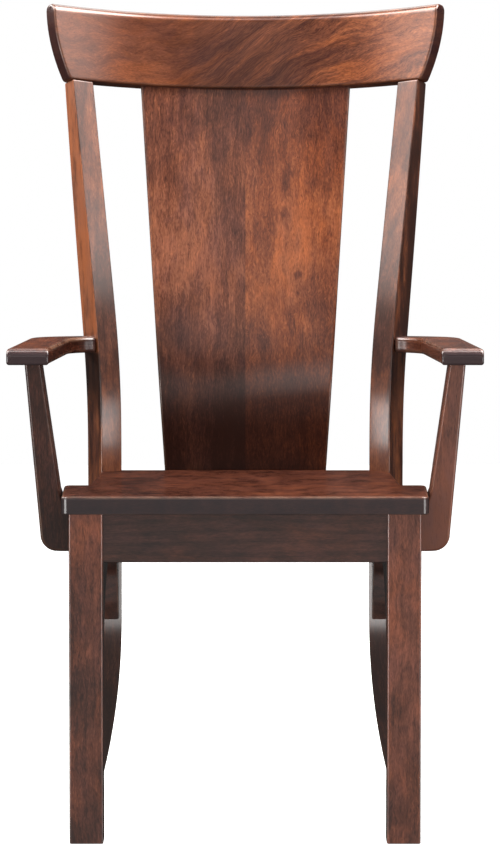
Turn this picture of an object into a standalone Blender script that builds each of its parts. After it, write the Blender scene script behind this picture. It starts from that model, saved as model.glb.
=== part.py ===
"""Dining armchair: a solid-wood chair with a wide curved splat, toed-in sabre back posts,
a tilted concave crest rail, level arms and a plank seat. Front faces -Y, floor at Z = 0."""

import math

import bmesh
import bpy

for old in list(bpy.data.objects):
    bpy.data.objects.remove(old, do_unlink=True)

MM = 0.001

# ---- driving dimensions ----------------------------------------------------
GAP = 0.3 * MM                      # glue or bearing gap between touching pieces
FRONT_TO_ORIGIN = 290.6 * MM        # seat front edge to the origin, along the depth

SEAT_TOP = 464.0 * MM
SEAT_THICK = 24.0 * MM
SEAT_HALF_FRONT = 242.0 * MM        # half width at the front edge
SEAT_HALF_EAR = 246.0 * MM          # half width at the back of the front board
SEAT_HALF_STEP = 212.0 * MM         # half width just behind the front board
SEAT_HALF_REAR = 204.4 * MM
SEAT_FRONT_BOARD = 179.0 * MM       # depth of the front board
SEAT_MIDDLE_END = 303.0 * MM
SEAT_REAR = 426.6 * MM
SEAT_CORNER = 10.0 * MM
SEAT_EDGE = 4.0 * MM

RAIL_TOP = SEAT_TOP - SEAT_THICK - GAP
RAIL_HEIGHT = 65.0 * MM
RAIL_BOTTOM = RAIL_TOP - RAIL_HEIGHT

LEG = 45.0 * MM
LEG_INNER = 188.0 * MM
LEG_FRONT = 15.0 * MM

APRON_FRONT = 20.0 * MM
APRON_THICK = 22.0 * MM

SIDE_THICK = 22.0 * MM
SIDE_OUTER_FRONT = 210.0 * MM       # outer face beside the front leg
SIDE_TAPER = 9.0 / 350.0            # the rails close in towards the back
ARCH_CENTRE = 230.0 * MM
ARCH_HALF = 166.0 * MM
ARCH_RISE = 120.0 * MM

POST_TOE = math.radians(28.0)       # the posts turn to follow the curved back
POST_WIDE = 32.0 * MM
POST_DEEP = 45.0 * MM
POST_DEEP_HIP = 47.0 * MM           # thickest where the back starts to lean
POST_DEEP_TOP = 28.5 * MM
POST_DEEP_FOOT = 36.0 * MM
POST_X = 174.9 * MM                 # inner front arris at the seat
POST_Z = 414.5 * MM
POST_SPLAY_FROM = 255.0 * MM        # the rear leg sweeps back below this height
POST_SPLAY_RADIUS = 448.0 * MM
POST_LEAN_FROM = 480.0 * MM         # the back leans above this height
POST_LEAN_OVER = 250.0 * MM
POST_LEAN = 0.219

CREST_RADIUS = 570.0 * MM
CREST_TILT = math.radians(12.5)
CREST_HIGH = 109.0 * MM
CREST_THICK = 27.0 * MM
CREST_HALF_TOP = 272.5 * MM
CREST_HALF_BOTTOM = 249.0 * MM
CREST_Z = 533.0 * MM                # middle of the lower front arris
CREST_H = 1006.0 * MM

SPLAT_THICK = 13.0 * MM
SPLAT_HALF_BOTTOM = 114.7 * MM
SPLAT_HALF_TOP = 150.0 * MM
SPLAT_FOOT_H = 443.5 * MM
SPLAT_SEAT_Z = 437.0 * MM
SPLAT_TOP_Z = 541.0 * MM
SPLAT_BOW_BOTTOM = 1 / 2.0          # plan curvature, per metre
SPLAT_BOW_TOP = 1 / 0.575
SPLAT_LUMBAR = 5.0 * MM
SPLAT_TONGUE = 10.0 * MM
SPLAT_CLEAR = 0.5 * MM

REAR_FRONT = 427.0 * MM
REAR_BACK = 452.0 * MM
REAR_TOP = 455.0 * MM

TENON_LOW = 388.0 * MM
TENON_HIGH = 430.0 * MM
TENON_THICK = 10.0 * MM

ARM_TOP = 654.0 * MM
ARM_THICK = 22.0 * MM
ARM_FRONT = 85.0 * MM
ARM_OUTER_FRONT = 318.5 * MM
ARM_INNER_FRONT = 262.0 * MM
ARM_EDGE = 5.0 * MM

STAY_FRONT = 95.0 * MM              # arm support
STAY_BACK = 151.0 * MM
STAY_TOP = ARM_TOP - ARM_THICK - GAP
STAY_BOTTOM = 382.0 * MM
STAY_FOOT_RADIUS = 22.0 * MM

BLOCK_BOTTOM = 400.0 * MM
BLOCK_TOP = RAIL_TOP

SCREW_HEAD = 4.5 * MM               # radii
SCREW_SHANK = 2.2 * MM
PLUG = 5.2 * MM
DOWEL = 5.0 * MM
ROUND = 10                          # sides of a fastener

# ---- frame -----------------------------------------------------------------
FRAME = bpy.data.objects.new("chair_frame", None)
bpy.context.scene.collection.objects.link(FRAME)
FRAME.location = (0.0, -FRONT_TO_ORIGIN, 0.0)

SIDES = (("left", -1.0), ("right", 1.0))


def finish(name, colour, roughness, metallic=0.0):
    mat = bpy.data.materials.new(name + "_finish")
    mat.use_nodes = True
    shader = mat.node_tree.nodes["Principled BSDF"]
    shader.inputs["Base Color"].default_value = (*colour, 1.0)
    shader.inputs["Roughness"].default_value = roughness
    shader.inputs["Metallic"].default_value = metallic
    return mat


def place(name, bm, colour, roughness=0.38, metallic=0.0, smooth=False):
    bmesh.ops.recalc_face_normals(bm, faces=bm.faces)
    mesh = bpy.data.meshes.new(name)
    bm.to_mesh(mesh)
    bm.free()
    for face in mesh.polygons:
        face.use_smooth = smooth
    mesh.materials.append(finish(name, colour, roughness, metallic))
    thing = bpy.data.objects.new(name, mesh)
    bpy.context.scene.collection.objects.link(thing)
    thing.parent = FRAME
    return thing


def tool(name, shells):
    """A hidden shape, of separate shells, used to cut or extend a piece."""
    bm = bmesh.new()
    for shell in shells:
        part = bpy.data.meshes.new("shell")
        bmesh.ops.recalc_face_normals(shell, faces=shell.faces)
        shell.to_mesh(part)
        shell.free()
        bm.from_mesh(part)
        bpy.data.meshes.remove(part)
    mesh = bpy.data.meshes.new(name)
    bm.to_mesh(mesh)
    bm.free()
    thing = bpy.data.objects.new(name, mesh)
    bpy.context.scene.collection.objects.link(thing)
    thing.parent = FRAME
    thing.hide_render = True
    thing.display_type = "WIRE"
    return thing


def combine(piece, shells, how):
    made = tool(piece.name + "_" + how.lower() + "_shape", shells)
    step = piece.modifiers.new(how.title(), "BOOLEAN")
    step.operation = how
    step.solver = "EXACT"
    step.object = made


def cut(piece, shells):
    combine(piece, shells, "DIFFERENCE")


def join(piece, shells):
    combine(piece, shells, "UNION")


def swept(rings, strip=False):
    """A solid through rings of points; caps are flat faces, or strips across paired points."""
    bm = bmesh.new()
    rows = [[bm.verts.new(p) for p in ring] for ring in rings]
    n = len(rows[0])
    for a, b in zip(rows, rows[1:]):
        for i in range(n):
            bm.faces.new((a[i], a[(i + 1) % n], b[(i + 1) % n], b[i]))
    for row in (rows[0], rows[-1]):
        if strip:
            for i in range(n // 2 - 1):
                bm.faces.new((row[i], row[i + 1], row[n - 2 - i], row[n - 1 - i]))
        else:
            bm.faces.new(row)
    return bm


def prism(outline, low, high):
    """An outline in plan, raised from low to high."""
    return swept([[(x, y, low) for x, y in outline], [(x, y, high) for x, y in outline]])


def box(x0, x1, y0, y1, z0, z1):
    return prism([(x0, y0), (x1, y0), (x1, y1), (x0, y1)], z0, z1)


def soften(bm, pick, width, steps=2):
    bmesh.ops.recalc_face_normals(bm, faces=bm.faces)
    chosen = [e for e in bm.edges if pick(e.verts[0].co, e.verts[1].co)]
    bmesh.ops.bevel(bm, geom=chosen, offset=width, offset_type="OFFSET", segments=steps, profile=0.5,
                    affect="EDGES", clamp_overlap=True)


def rounded(u0, u1, v0, v1, r, steps):
    points = []
    for cu, cv, start in ((u1 - r, v1 - r, 0), (u0 + r, v1 - r, 90), (u0 + r, v0 + r, 180), (u1 - r, v0 + r, 270)):
        for k in range(steps + 1):
            a = math.radians(start + 90.0 * k / steps)
            points.append((cu + r * math.cos(a), cv + r * math.sin(a)))
    return points


def turned(profile, start, axis, sides=ROUND):
    """A turned solid: (radius, distance) pairs along an axis from start."""
    ax, ay, az = axis
    size = math.sqrt(ax * ax + ay * ay + az * az)
    ax, ay, az = ax / size, ay / size, az / size
    hx, hy, hz = (0.0, 0.0, 1.0) if abs(az) < 0.9 else (1.0, 0.0, 0.0)
    ux, uy, uz = ay * hz - az * hy, az * hx - ax * hz, ax * hy - ay * hx
    size = math.sqrt(ux * ux + uy * uy + uz * uz)
    ux, uy, uz = ux / size, uy / size, uz / size
    vx, vy, vz = ay * uz - az * uy, az * ux - ax * uz, ax * uy - ay * ux
    rings = []
    for radius, along in profile:
        ring = []
        for k in range(sides):
            a = 2.0 * math.pi * k / sides
            c, s = radius * math.cos(a), radius * math.sin(a)
            ring.append((start[0] + ax * along + ux * c + vx * s,
                         start[1] + ay * along + uy * c + vy * s,
                         start[2] + az * along + uz * c + vz * s))
        rings.append(ring)
    return swept(rings)


def screw_body(head, axis, length):
    return turned([(SCREW_HEAD, 0.0), (SCREW_HEAD, 0.8 * MM), (SCREW_SHANK, 3.4 * MM),
                   (SCREW_SHANK, length - 6.0 * MM), (0.5 * MM, length)], head, axis)


def screw_bore(head, axis, length, over):
    """The screw with its clearance; the head's bore is continued outwards by over."""
    c = 0.4 * MM
    return turned([(SCREW_HEAD + c, -over), (SCREW_HEAD + c, 1.1 * MM), (SCREW_SHANK + c, 3.8 * MM),
                   (SCREW_SHANK + c, length - 5.8 * MM), (0.9 * MM, length + 0.5 * MM)], head, axis)


def pin(start, axis, radius, length, sides=12):
    return turned([(radius - 0.8 * MM, 0.0), (radius, 1.0 * MM), (radius, length - 1.0 * MM),
                   (radius - 0.8 * MM, length)], start, axis, sides)


def pin_bore(start, axis, radius, low, high, sides=12):
    ax, ay, az = axis
    begin = (start[0] + ax * low, start[1] + ay * low, start[2] + az * low)
    return turned([(radius, 0.0), (radius, high - low)], begin, axis, sides)


def ease(t):
    t = min(1.0, max(0.0, t))
    return t * t * (3.0 - 2.0 * t)


def lerp(a, b, t):
    return a + (b - a) * t


# ---- colours ---------------------------------------------------------------
CREST_BROWN = (0.190, 0.085, 0.045)
SPLAT_BROWN = (0.205, 0.090, 0.042)
SPLAT_AMBER = (0.230, 0.104, 0.047)
POST_BROWN = (0.175, 0.090, 0.055)
SEAT_RED = (0.150, 0.072, 0.052)
DARK_BROWN = (0.085, 0.055, 0.045)
LEG_BROWN = (0.125, 0.075, 0.055)
INNER_WOOD = (0.330, 0.215, 0.120)
PALE_WOOD = (0.480, 0.330, 0.190)
STEEL = (0.560, 0.530, 0.480)


# ---- back posts ------------------------------------------------------------
def post_sweep(h):
    """How far the post's front face stands back of its seat position."""
    if h < POST_SPLAY_FROM:
        return (POST_SPLAY_FROM - h) ** 2 / (2.0 * POST_SPLAY_RADIUS)
    t = (h - POST_LEAN_FROM) / POST_LEAN_OVER
    if t <= 0.0:
        return 0.0
    full = POST_LEAN * POST_LEAN_OVER
    if t <= 1.0:
        return full * (t ** 3 - t ** 4 / 2.0)
    return full / 2.0 + POST_LEAN * (t - 1.0) * POST_LEAN_OVER


def post_depth(h):
    if h < 250.0 * MM:
        return lerp(POST_DEEP_FOOT, POST_DEEP, ease(h / (250.0 * MM)))
    full = lerp(POST_DEEP, POST_DEEP_HIP, ease((h - POST_LEAN_FROM) / (170.0 * MM)))
    thin = max(0.0, (h - 670.0 * MM) / (340.0 * MM)) ** 1.25
    return full - (POST_DEEP_HIP - POST_DEEP_TOP) * thin


def post_point(side, across, back):
    """A point in plan: across the front face from its inner arris, and back from it."""
    c, s = math.cos(POST_TOE), math.sin(POST_TOE)
    return side * (POST_X + across * c + back * s), POST_Z - across * s + back * c


def crest_plane(y):
    """Height of the crest rail's underside at a depth."""
    return CREST_H - math.tan(CREST_TILT) * (y - CREST_Z)


def post_vertex(side, h, u, v):
    x, y = post_point(side, u * POST_WIDE, post_sweep(h) + v * post_depth(h))
    return x, y, h


def build_post(name, side):
    edge = 3.5 * MM
    heights = [POST_SPLAY_FROM * k / 9.0 for k in range(10)] + [330.0 * MM, 405.0 * MM]
    heights += [lerp(POST_LEAN_FROM, 985.0 * MM, k / 13.0) for k in range(14)]
    rings = []
    for h in heights:
        deep = post_depth(h)
        ring = []
        for u, v in rounded(0.0, POST_WIDE, 0.0, deep, edge, 2):
            x, y = post_point(side, u, post_sweep(h) + v)
            ring.append((x, y, h))
        rings.append(ring)
    top = []
    for u, v in rounded(0.0, POST_WIDE, 0.0, post_depth(1010.0 * MM), edge, 2):
        h = CREST_H
        for _ in range(12):
            x, y = post_point(side, u, post_sweep(h) + v)
            h = crest_plane(y) - GAP
        top.append((x, y, h))
    rings.append(top)
    return place(name, swept(rings), POST_BROWN, smooth=True)


POSTS = {label: build_post("back_post_" + label, side) for label, side in SIDES}


# ---- crest rail ------------------------------------------------------------
def crest_point(angle, deep, high):
    x = (CREST_RADIUS + deep) * math.sin(angle)
    y = (CREST_RADIUS + deep) * math.cos(angle) - CREST_RADIUS
    c, s = math.cos(CREST_TILT), math.sin(CREST_TILT)
    return x, CREST_Z + y * c + high * s, CREST_H - y * s + high * c


def crest_end(high):
    fall = (CREST_HIGH - high) / CREST_HIGH
    half = CREST_HALF_TOP - (CREST_HALF_TOP - CREST_HALF_BOTTOM) * fall * fall
    return math.asin(half / CREST_RADIUS)


def build_crest():
    low, high, steps = 3.0 * MM, 8.0 * MM, 3
    face = []
    for k in range(steps):
        a = math.radians(90.0 * k / (steps - 1))
        face.append((low - low * math.sin(a), low - low * math.cos(a)))
    for k in range(1, 4):
        face.append((0.0, lerp(low, CREST_HIGH - high, k / 4.0)))
    for k in range(steps + 1):
        a = math.radians(90.0 * k / steps)
        face.append((high - high * math.cos(a), CREST_HIGH - high + high * math.sin(a)))
    section = face + [(CREST_THICK - d, v) for d, v in reversed(face)]
    rings = []
    for k in range(25):
        t = -1.0 + 2.0 * k / 24.0
        rings.append([crest_point(t * crest_end(v), d, v) for d, v in section])
    return place("crest_rail", swept(rings, strip=True), CREST_BROWN, smooth=True)


CREST = build_crest()


# ---- splat -----------------------------------------------------------------
def splat_front(x, h):
    lean = post_sweep(h) / post_sweep(CREST_H)
    rise = min(1.0, max(0.0, (h - SEAT_TOP) / (230.0 * MM)))
    middle = SPLAT_SEAT_Z + (SPLAT_TOP_Z - SPLAT_SEAT_Z) * lean - SPLAT_LUMBAR * math.sin(math.pi * rise) ** 2
    t = min(1.0, max(0.0, (h - SEAT_TOP) / (CREST_H - SEAT_TOP)))
    bow = lerp(SPLAT_BOW_BOTTOM, SPLAT_BOW_TOP, math.sin(math.pi / 2.0 * t))
    return middle - bow * x * x / 2.0


def splat_half(h):
    return lerp(SPLAT_HALF_BOTTOM, SPLAT_HALF_TOP, (h - SEAT_TOP) / (CREST_H - SEAT_TOP))


def splat_top(x, above):
    h = CREST_H
    for _ in range(12):
        h = crest_plane(splat_front(x, h)) + above
    return h


def splat_shape(edges, low, high, grow, rows, columns=6):
    """Between two edges, given as shares of the half width, from low(x) to high(x); grow adds clearance."""
    a, b = edges
    soft = 4.0 * MM
    rings = []
    for k in range(rows + 1):
        f = k / rows
        shares = [lerp(a, b, i / columns) for i in range(columns + 1)]
        front, back = [], []
        for share in shares:
            nominal = share * SPLAT_HALF_TOP
            h = lerp(low(nominal), high(nominal), f)
            half = splat_half(h) + grow
            x = share * half
            if share == 0.0:
                x = GAP / 2.0 * (1.0 if b > 0.0 else -1.0) if a * b == 0.0 else 0.0
            outer = abs(abs(share) - 1.0) < 1e-9
            inset = soft if outer else 0.0
            y = splat_front(x, h)
            front.append((x, y - grow + inset, h))
            back.append((x, y + SPLAT_THICK + grow - inset, h))
            if outer:
                inner = x - math.copysign(soft, x)
                side_front = (inner, splat_front(inner, h) - grow, h)
                side_back = (inner, splat_front(inner, h) + SPLAT_THICK + grow, h)
                first = share == shares[0]
                if first:
                    front.append(side_front)
                    back.append(side_back)
                else:
                    front.insert(-1, side_front)
                    back.insert(-1, side_back)
        ring = front + back[::-1]
        rings.append(ring)
    return swept(rings, strip=True)


def splat_low(_x):
    return SPLAT_FOOT_H


def splat_high(x):
    return splat_top(x, SPLAT_TONGUE)


place("splat_board_left", splat_shape((-1.0, 0.0), splat_low, splat_high, 0.0, 20), SPLAT_BROWN, smooth=True)
place("splat_board_right", splat_shape((0.0, 1.0), splat_low, splat_high, 0.0, 20), SPLAT_AMBER, smooth=True)


# ---- seat ------------------------------------------------------------------
def seat_side(y):
    return lerp(SEAT_HALF_STEP, SEAT_HALF_REAR, (y - SEAT_FRONT_BOARD) / (398.0 * MM - SEAT_FRONT_BOARD))


def near(a, b):
    return abs(a - b) < 1e-6


def seat_board(name, outline, round_corner, outer_edge, colour):
    bm = prism(outline, SEAT_TOP - SEAT_THICK, SEAT_TOP)
    soften(bm, lambda p, q: near(p.x, q.x) and near(p.y, q.y) and round_corner(p), SEAT_CORNER, 4)
    soften(bm, lambda p, q: near(p.z, q.z) and p.z > SEAT_TOP - 1e-6 and outer_edge(p, q), SEAT_EDGE, 2)
    return place(name, bm, colour, 0.33)


def mirror_outline(half):
    return half + [(-x, y) for x, y in reversed(half)]


FRONT_BOARD = seat_board(
    "seat_board_front",
    mirror_outline([(SEAT_HALF_FRONT, 0.0), (SEAT_HALF_EAR, SEAT_FRONT_BOARD), (SEAT_HALF_STEP, SEAT_FRONT_BOARD)]),
    lambda p: abs(p.x) > SEAT_HALF_STEP + 1e-4,
    lambda p, q: not (near(p.y, SEAT_FRONT_BOARD) and near(q.y, SEAT_FRONT_BOARD)
                      and max(abs(p.x), abs(q.x)) < SEAT_HALF_STEP + 1e-5),
    SEAT_RED,
)
MIDDLE_BOARD = seat_board(
    "seat_board_middle",
    mirror_outline([(seat_side(SEAT_FRONT_BOARD + GAP), SEAT_FRONT_BOARD + GAP), (seat_side(SEAT_MIDDLE_END), SEAT_MIDDLE_END)]),
    lambda p: False,
    lambda p, q: p.x * q.x > 0.0 and abs(p.y - q.y) > 1e-3,
    SEAT_RED,
)


def post_front_line(x, clear):
    """Depth of the post's front face at a half width, less a clearance."""
    return POST_Z - (x - POST_X) * math.tan(POST_TOE) - clear / math.cos(POST_TOE)


def post_inner_line(y, clear):
    """Half width of the post's inner side face at a depth, less a clearance."""
    return POST_X + (y - POST_Z) * math.tan(POST_TOE) - clear / math.cos(POST_TOE)


NOTCH = POST_X - 0.2 * MM
REAR_BOARD = seat_board(
    "seat_board_rear",
    mirror_outline([
        (seat_side(SEAT_MIDDLE_END + GAP), SEAT_MIDDLE_END + GAP),
        (SEAT_HALF_REAR, post_front_line(SEAT_HALF_REAR, GAP)),
        (NOTCH, post_front_line(NOTCH, GAP)),
        (post_inner_line(SEAT_REAR, GAP) - 0.2 * MM, SEAT_REAR),
    ]),
    lambda p: False,
    lambda p, q: p.x * q.x > 0.0 and p.y < 400.0 * MM and q.y < 400.0 * MM and abs(p.y - q.y) > 1e-3,
    SEAT_RED,
)


# ---- front legs and apron --------------------------------------------------
def upright(p, q):
    return near(p.x, q.x) and near(p.y, q.y)


LEGS = {}
for label, side in SIDES:
    inner, outer = side * LEG_INNER, side * (LEG_INNER + LEG)
    bm = box(min(inner, outer), max(inner, outer), LEG_FRONT, LEG_FRONT + LEG, 0.0, RAIL_TOP)
    soften(bm, upright, 2.5 * MM)
    soften(bm, lambda p, q: near(p.z, q.z) and p.z < 1e-6, 1.5 * MM, 1)
    LEGS[label] = place("front_leg_" + label, bm, LEG_BROWN, 0.4)

half = LEG_INNER - GAP
bm = box(-half, half, APRON_FRONT, APRON_FRONT + APRON_THICK, RAIL_BOTTOM, RAIL_TOP)
soften(bm, lambda p, q: near(p.z, q.z) and p.z < RAIL_BOTTOM + 1e-6 and near(p.y, q.y) and not near(p.x, q.x), 2.0 * MM)
APRON = place("front_apron", bm, DARK_BROWN, 0.4)
APRON_TENON = (26.0 * MM, 36.0 * MM)
APRON_TENON_END = 206.0 * MM
join(APRON, [box(-APRON_TENON_END, APRON_TENON_END, *APRON_TENON, TENON_LOW, TENON_HIGH)])


# ---- side rails ------------------------------------------------------------
def side_outer(y):
    return SIDE_OUTER_FRONT - (y - LEG_FRONT - LEG) * SIDE_TAPER


def side_inner(y):
    return side_outer(y) - SIDE_THICK


RAIL_FRONT = LEG_FRONT + LEG + GAP
RAILS = {}
for label, side in SIDES:
    arch = [(RAIL_FRONT, RAIL_BOTTOM - ARCH_RISE)]
    for k in range(25):
        a = math.pi * k / 24.0
        arch.append((ARCH_CENTRE - ARCH_HALF * math.cos(a), RAIL_BOTTOM - ARCH_RISE * (1.0 - math.sin(a))))
    arch.append((None, RAIL_BOTTOM - ARCH_RISE))
    rings = []
    for y, low in arch:
        ring = []
        for face, h in ((side_outer, low), (side_outer, RAIL_TOP), (side_inner, RAIL_TOP), (side_inner, low)):
            depth = y
            if y is None:
                depth = 405.0 * MM
                for _ in range(8):
                    depth = post_front_line(face(depth), GAP)
            ring.append((side * face(depth), depth, h))
        rings.append(ring)
    RAILS[label] = place("side_rail_" + label, swept(rings), DARK_BROWN, 0.5)
    middle_front = side_outer(RAIL_FRONT) - SIDE_THICK / 2.0
    middle_rear = side_outer(405.0 * MM) - SIDE_THICK / 2.0
    t = TENON_THICK / 2.0
    ends = []
    for middle, y0, y1 in ((middle_front, 42.0 * MM, 75.0 * MM), (middle_rear, 385.0 * MM, 424.0 * MM)):
        a, b = side * (middle - t), side * (middle + t)
        ends.append((min(a, b), max(a, b), y0, y1))
    join(RAILS[label], [box(*e, TENON_LOW, TENON_HIGH) for e in ends])
    c = 0.35 * MM
    front, rear = ends
    mortise = box(front[0] - c, front[1] + c, front[2] - c, front[3], TENON_LOW - c, TENON_HIGH + c)
    a, b = side * (LEG_INNER - 5.0 * MM), side * (APRON_TENON_END + c)
    across = box(min(a, b), max(a, b), APRON_TENON[0] - c, APRON_TENON[1] + c, TENON_LOW - c, TENON_HIGH + c)
    cut(LEGS[label], [mortise, across])
    RAILS[label + "_mortise"] = box(rear[0] - c, rear[1] + c, rear[2], rear[3] + c, TENON_LOW - c, TENON_HIGH + c)

# ---- rear apron ------------------------------------------------------------
bm = prism(
    mirror_outline([(post_inner_line(REAR_FRONT, GAP), REAR_FRONT), (post_inner_line(REAR_BACK, GAP), REAR_BACK)]),
    RAIL_BOTTOM, REAR_TOP,
)
soften(bm, lambda p, q: near(p.z, q.z) and near(p.y, q.y) and near(p.y, REAR_BACK), 2.0 * MM)
REAR_APRON = place("rear_apron", bm, DARK_BROWN, 0.45)
REAR_TENON = (434.5 * MM, 444.5 * MM)
REAR_TENON_END = 205.0 * MM
join(REAR_APRON, [box(-REAR_TENON_END, REAR_TENON_END, *REAR_TENON, TENON_LOW, TENON_HIGH)])

# ---- arms ------------------------------------------------------------------
def curve(points, t):
    p0, p1, p2, p3 = points
    m = 1.0 - t
    return tuple(m ** 3 * a + 3 * m * m * t * b + 3 * m * t * t * c + t ** 3 * d for a, b, c, d in zip(p0, p1, p2, p3))


ARM_H = ARM_TOP - ARM_THICK / 2.0
OUTER_TURN = (304.5 * MM, 372.0 * MM)   # where each edge leaves its straight run
INNER_TURN = (247.0 * MM, 355.0 * MM)
ARM_END_WIDE = 43.0 * MM


def arm_edges():
    """Matching points of the outer and inner edges, from the front to the post."""
    c, s = math.cos(POST_TOE), math.sin(POST_TOE)
    begin = post_sweep(ARM_H) + 1.0 * MM
    inner_end = post_point(1.0, POST_WIDE + GAP, begin)
    outer_end = post_point(1.0, POST_WIDE + GAP, begin + ARM_END_WIDE)
    outer_bend = (OUTER_TURN, (OUTER_TURN[0] - 3.0 * MM, OUTER_TURN[1] + 58.0 * MM),
                  (outer_end[0] + 36.0 * MM * c, outer_end[1] - 36.0 * MM * s), outer_end)
    inner_bend = (INNER_TURN, (INNER_TURN[0] - 2.0 * MM, INNER_TURN[1] + 34.0 * MM),
                  (inner_end[0] + 24.0 * MM * c, inner_end[1] - 24.0 * MM * s), inner_end)
    pairs = []
    for k in range(7):
        f = k / 6.0
        pairs.append(((lerp(ARM_OUTER_FRONT, OUTER_TURN[0], f), lerp(ARM_FRONT, OUTER_TURN[1], f)),
                      (lerp(ARM_INNER_FRONT, INNER_TURN[0], f), lerp(ARM_FRONT, INNER_TURN[1], f))))
    for k in range(1, 13):
        f = k / 12.0
        pairs.append((curve(outer_bend, f), curve(inner_bend, f)))
    return pairs


ARMS = {}
for label, side in SIDES:
    rings = []
    pairs = arm_edges()
    nose = []
    (ox, oy), (ix, iy) = pairs[0]
    for a in (0.0, 35.0, 65.0):
        back = ARM_EDGE * (1.0 - math.sin(math.radians(a)))
        forward = ARM_EDGE * (1.0 - math.cos(math.radians(90.0 - a)))
        nose.append((ox - back, ix + back, oy + ARM_EDGE * (1.0 - math.cos(math.radians(a))), back * 0.8))
    for outer_x, inner_x, y, shrink in nose:
        ring = []
        wide = outer_x - inner_x
        for u, v in rounded(0.0, wide, shrink, ARM_THICK - shrink, ARM_EDGE - 0.4 * shrink, 2):
            ring.append((side * (inner_x + u), y, ARM_TOP - ARM_THICK + v))
        rings.append(ring)
    first = True
    for (ox, oy), (ix, iy) in pairs:
        if first:
            oy, iy, first = oy + ARM_EDGE, iy + ARM_EDGE, False
        wide = math.hypot(ox - ix, oy - iy)
        ring = []
        for u, v in rounded(0.0, wide, 0.0, ARM_THICK, ARM_EDGE, 2):
            f = u / wide
            ring.append((side * lerp(ix, ox, f), lerp(iy, oy, f), ARM_TOP - ARM_THICK + v))
        rings.append(ring)
    ARMS[label] = place("arm_" + label, swept(rings), DARK_BROWN, 0.36, smooth=True)

# ---- arm supports ----------------------------------------------------------
STAYS = {}
STAY_NOTCH = SEAT_HALF_EAR + 0.3 * MM
for label, side in SIDES:
    inner = SIDE_OUTER_FRONT - 35.0 * MM * SIDE_TAPER + 0.4 * MM
    ledge = SEAT_TOP - SEAT_THICK - GAP
    outline = [(294.6 * MM, STAY_TOP), (272.6 * MM, STAY_TOP), (248.4 * MM, SEAT_TOP), (STAY_NOTCH, SEAT_TOP - 6.0 * MM),
               (STAY_NOTCH, ledge), (inner, ledge), (inner, STAY_BOTTOM)]
    foot_x, foot_h = 274.3 * MM - STAY_FOOT_RADIUS, STAY_BOTTOM + STAY_FOOT_RADIUS
    for k in range(7):
        a = math.radians(-90.0 + 90.0 * k / 6.0)
        outline.append((foot_x + STAY_FOOT_RADIUS * math.cos(a), foot_h + STAY_FOOT_RADIUS * math.sin(a)))
    bm = swept([[(side * x, y, h) for x, h in outline] for y in (STAY_FRONT, STAY_BACK)])
    soften(bm, lambda p, q: near(p.y, q.y) and min(abs(p.x), abs(q.x)) > STAY_NOTCH - 1e-5
           and not (near(p.z, STAY_TOP) and near(q.z, STAY_TOP))
           and not (near(abs(p.x), STAY_NOTCH) and near(abs(q.x), STAY_NOTCH)), 4.0 * MM, 2)
    STAYS[label] = place("arm_support_" + label, bm, DARK_BROWN, 0.38)

# ---- corner blocks and fasteners -------------------------------------------
# bores[piece] collects the shells taken out of it
bores = {}


def drill(shell_maker, *pieces):
    for piece in pieces:
        bores.setdefault(piece.name, (piece, []))[1].append(shell_maker())


def fasten(name, head, axis, length, over, *pieces):
    place(name, screw_body(head, axis, length), STEEL, 0.35, 0.9, smooth=False)
    drill(lambda: screw_bore(head, axis, length, over), *pieces)


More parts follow.
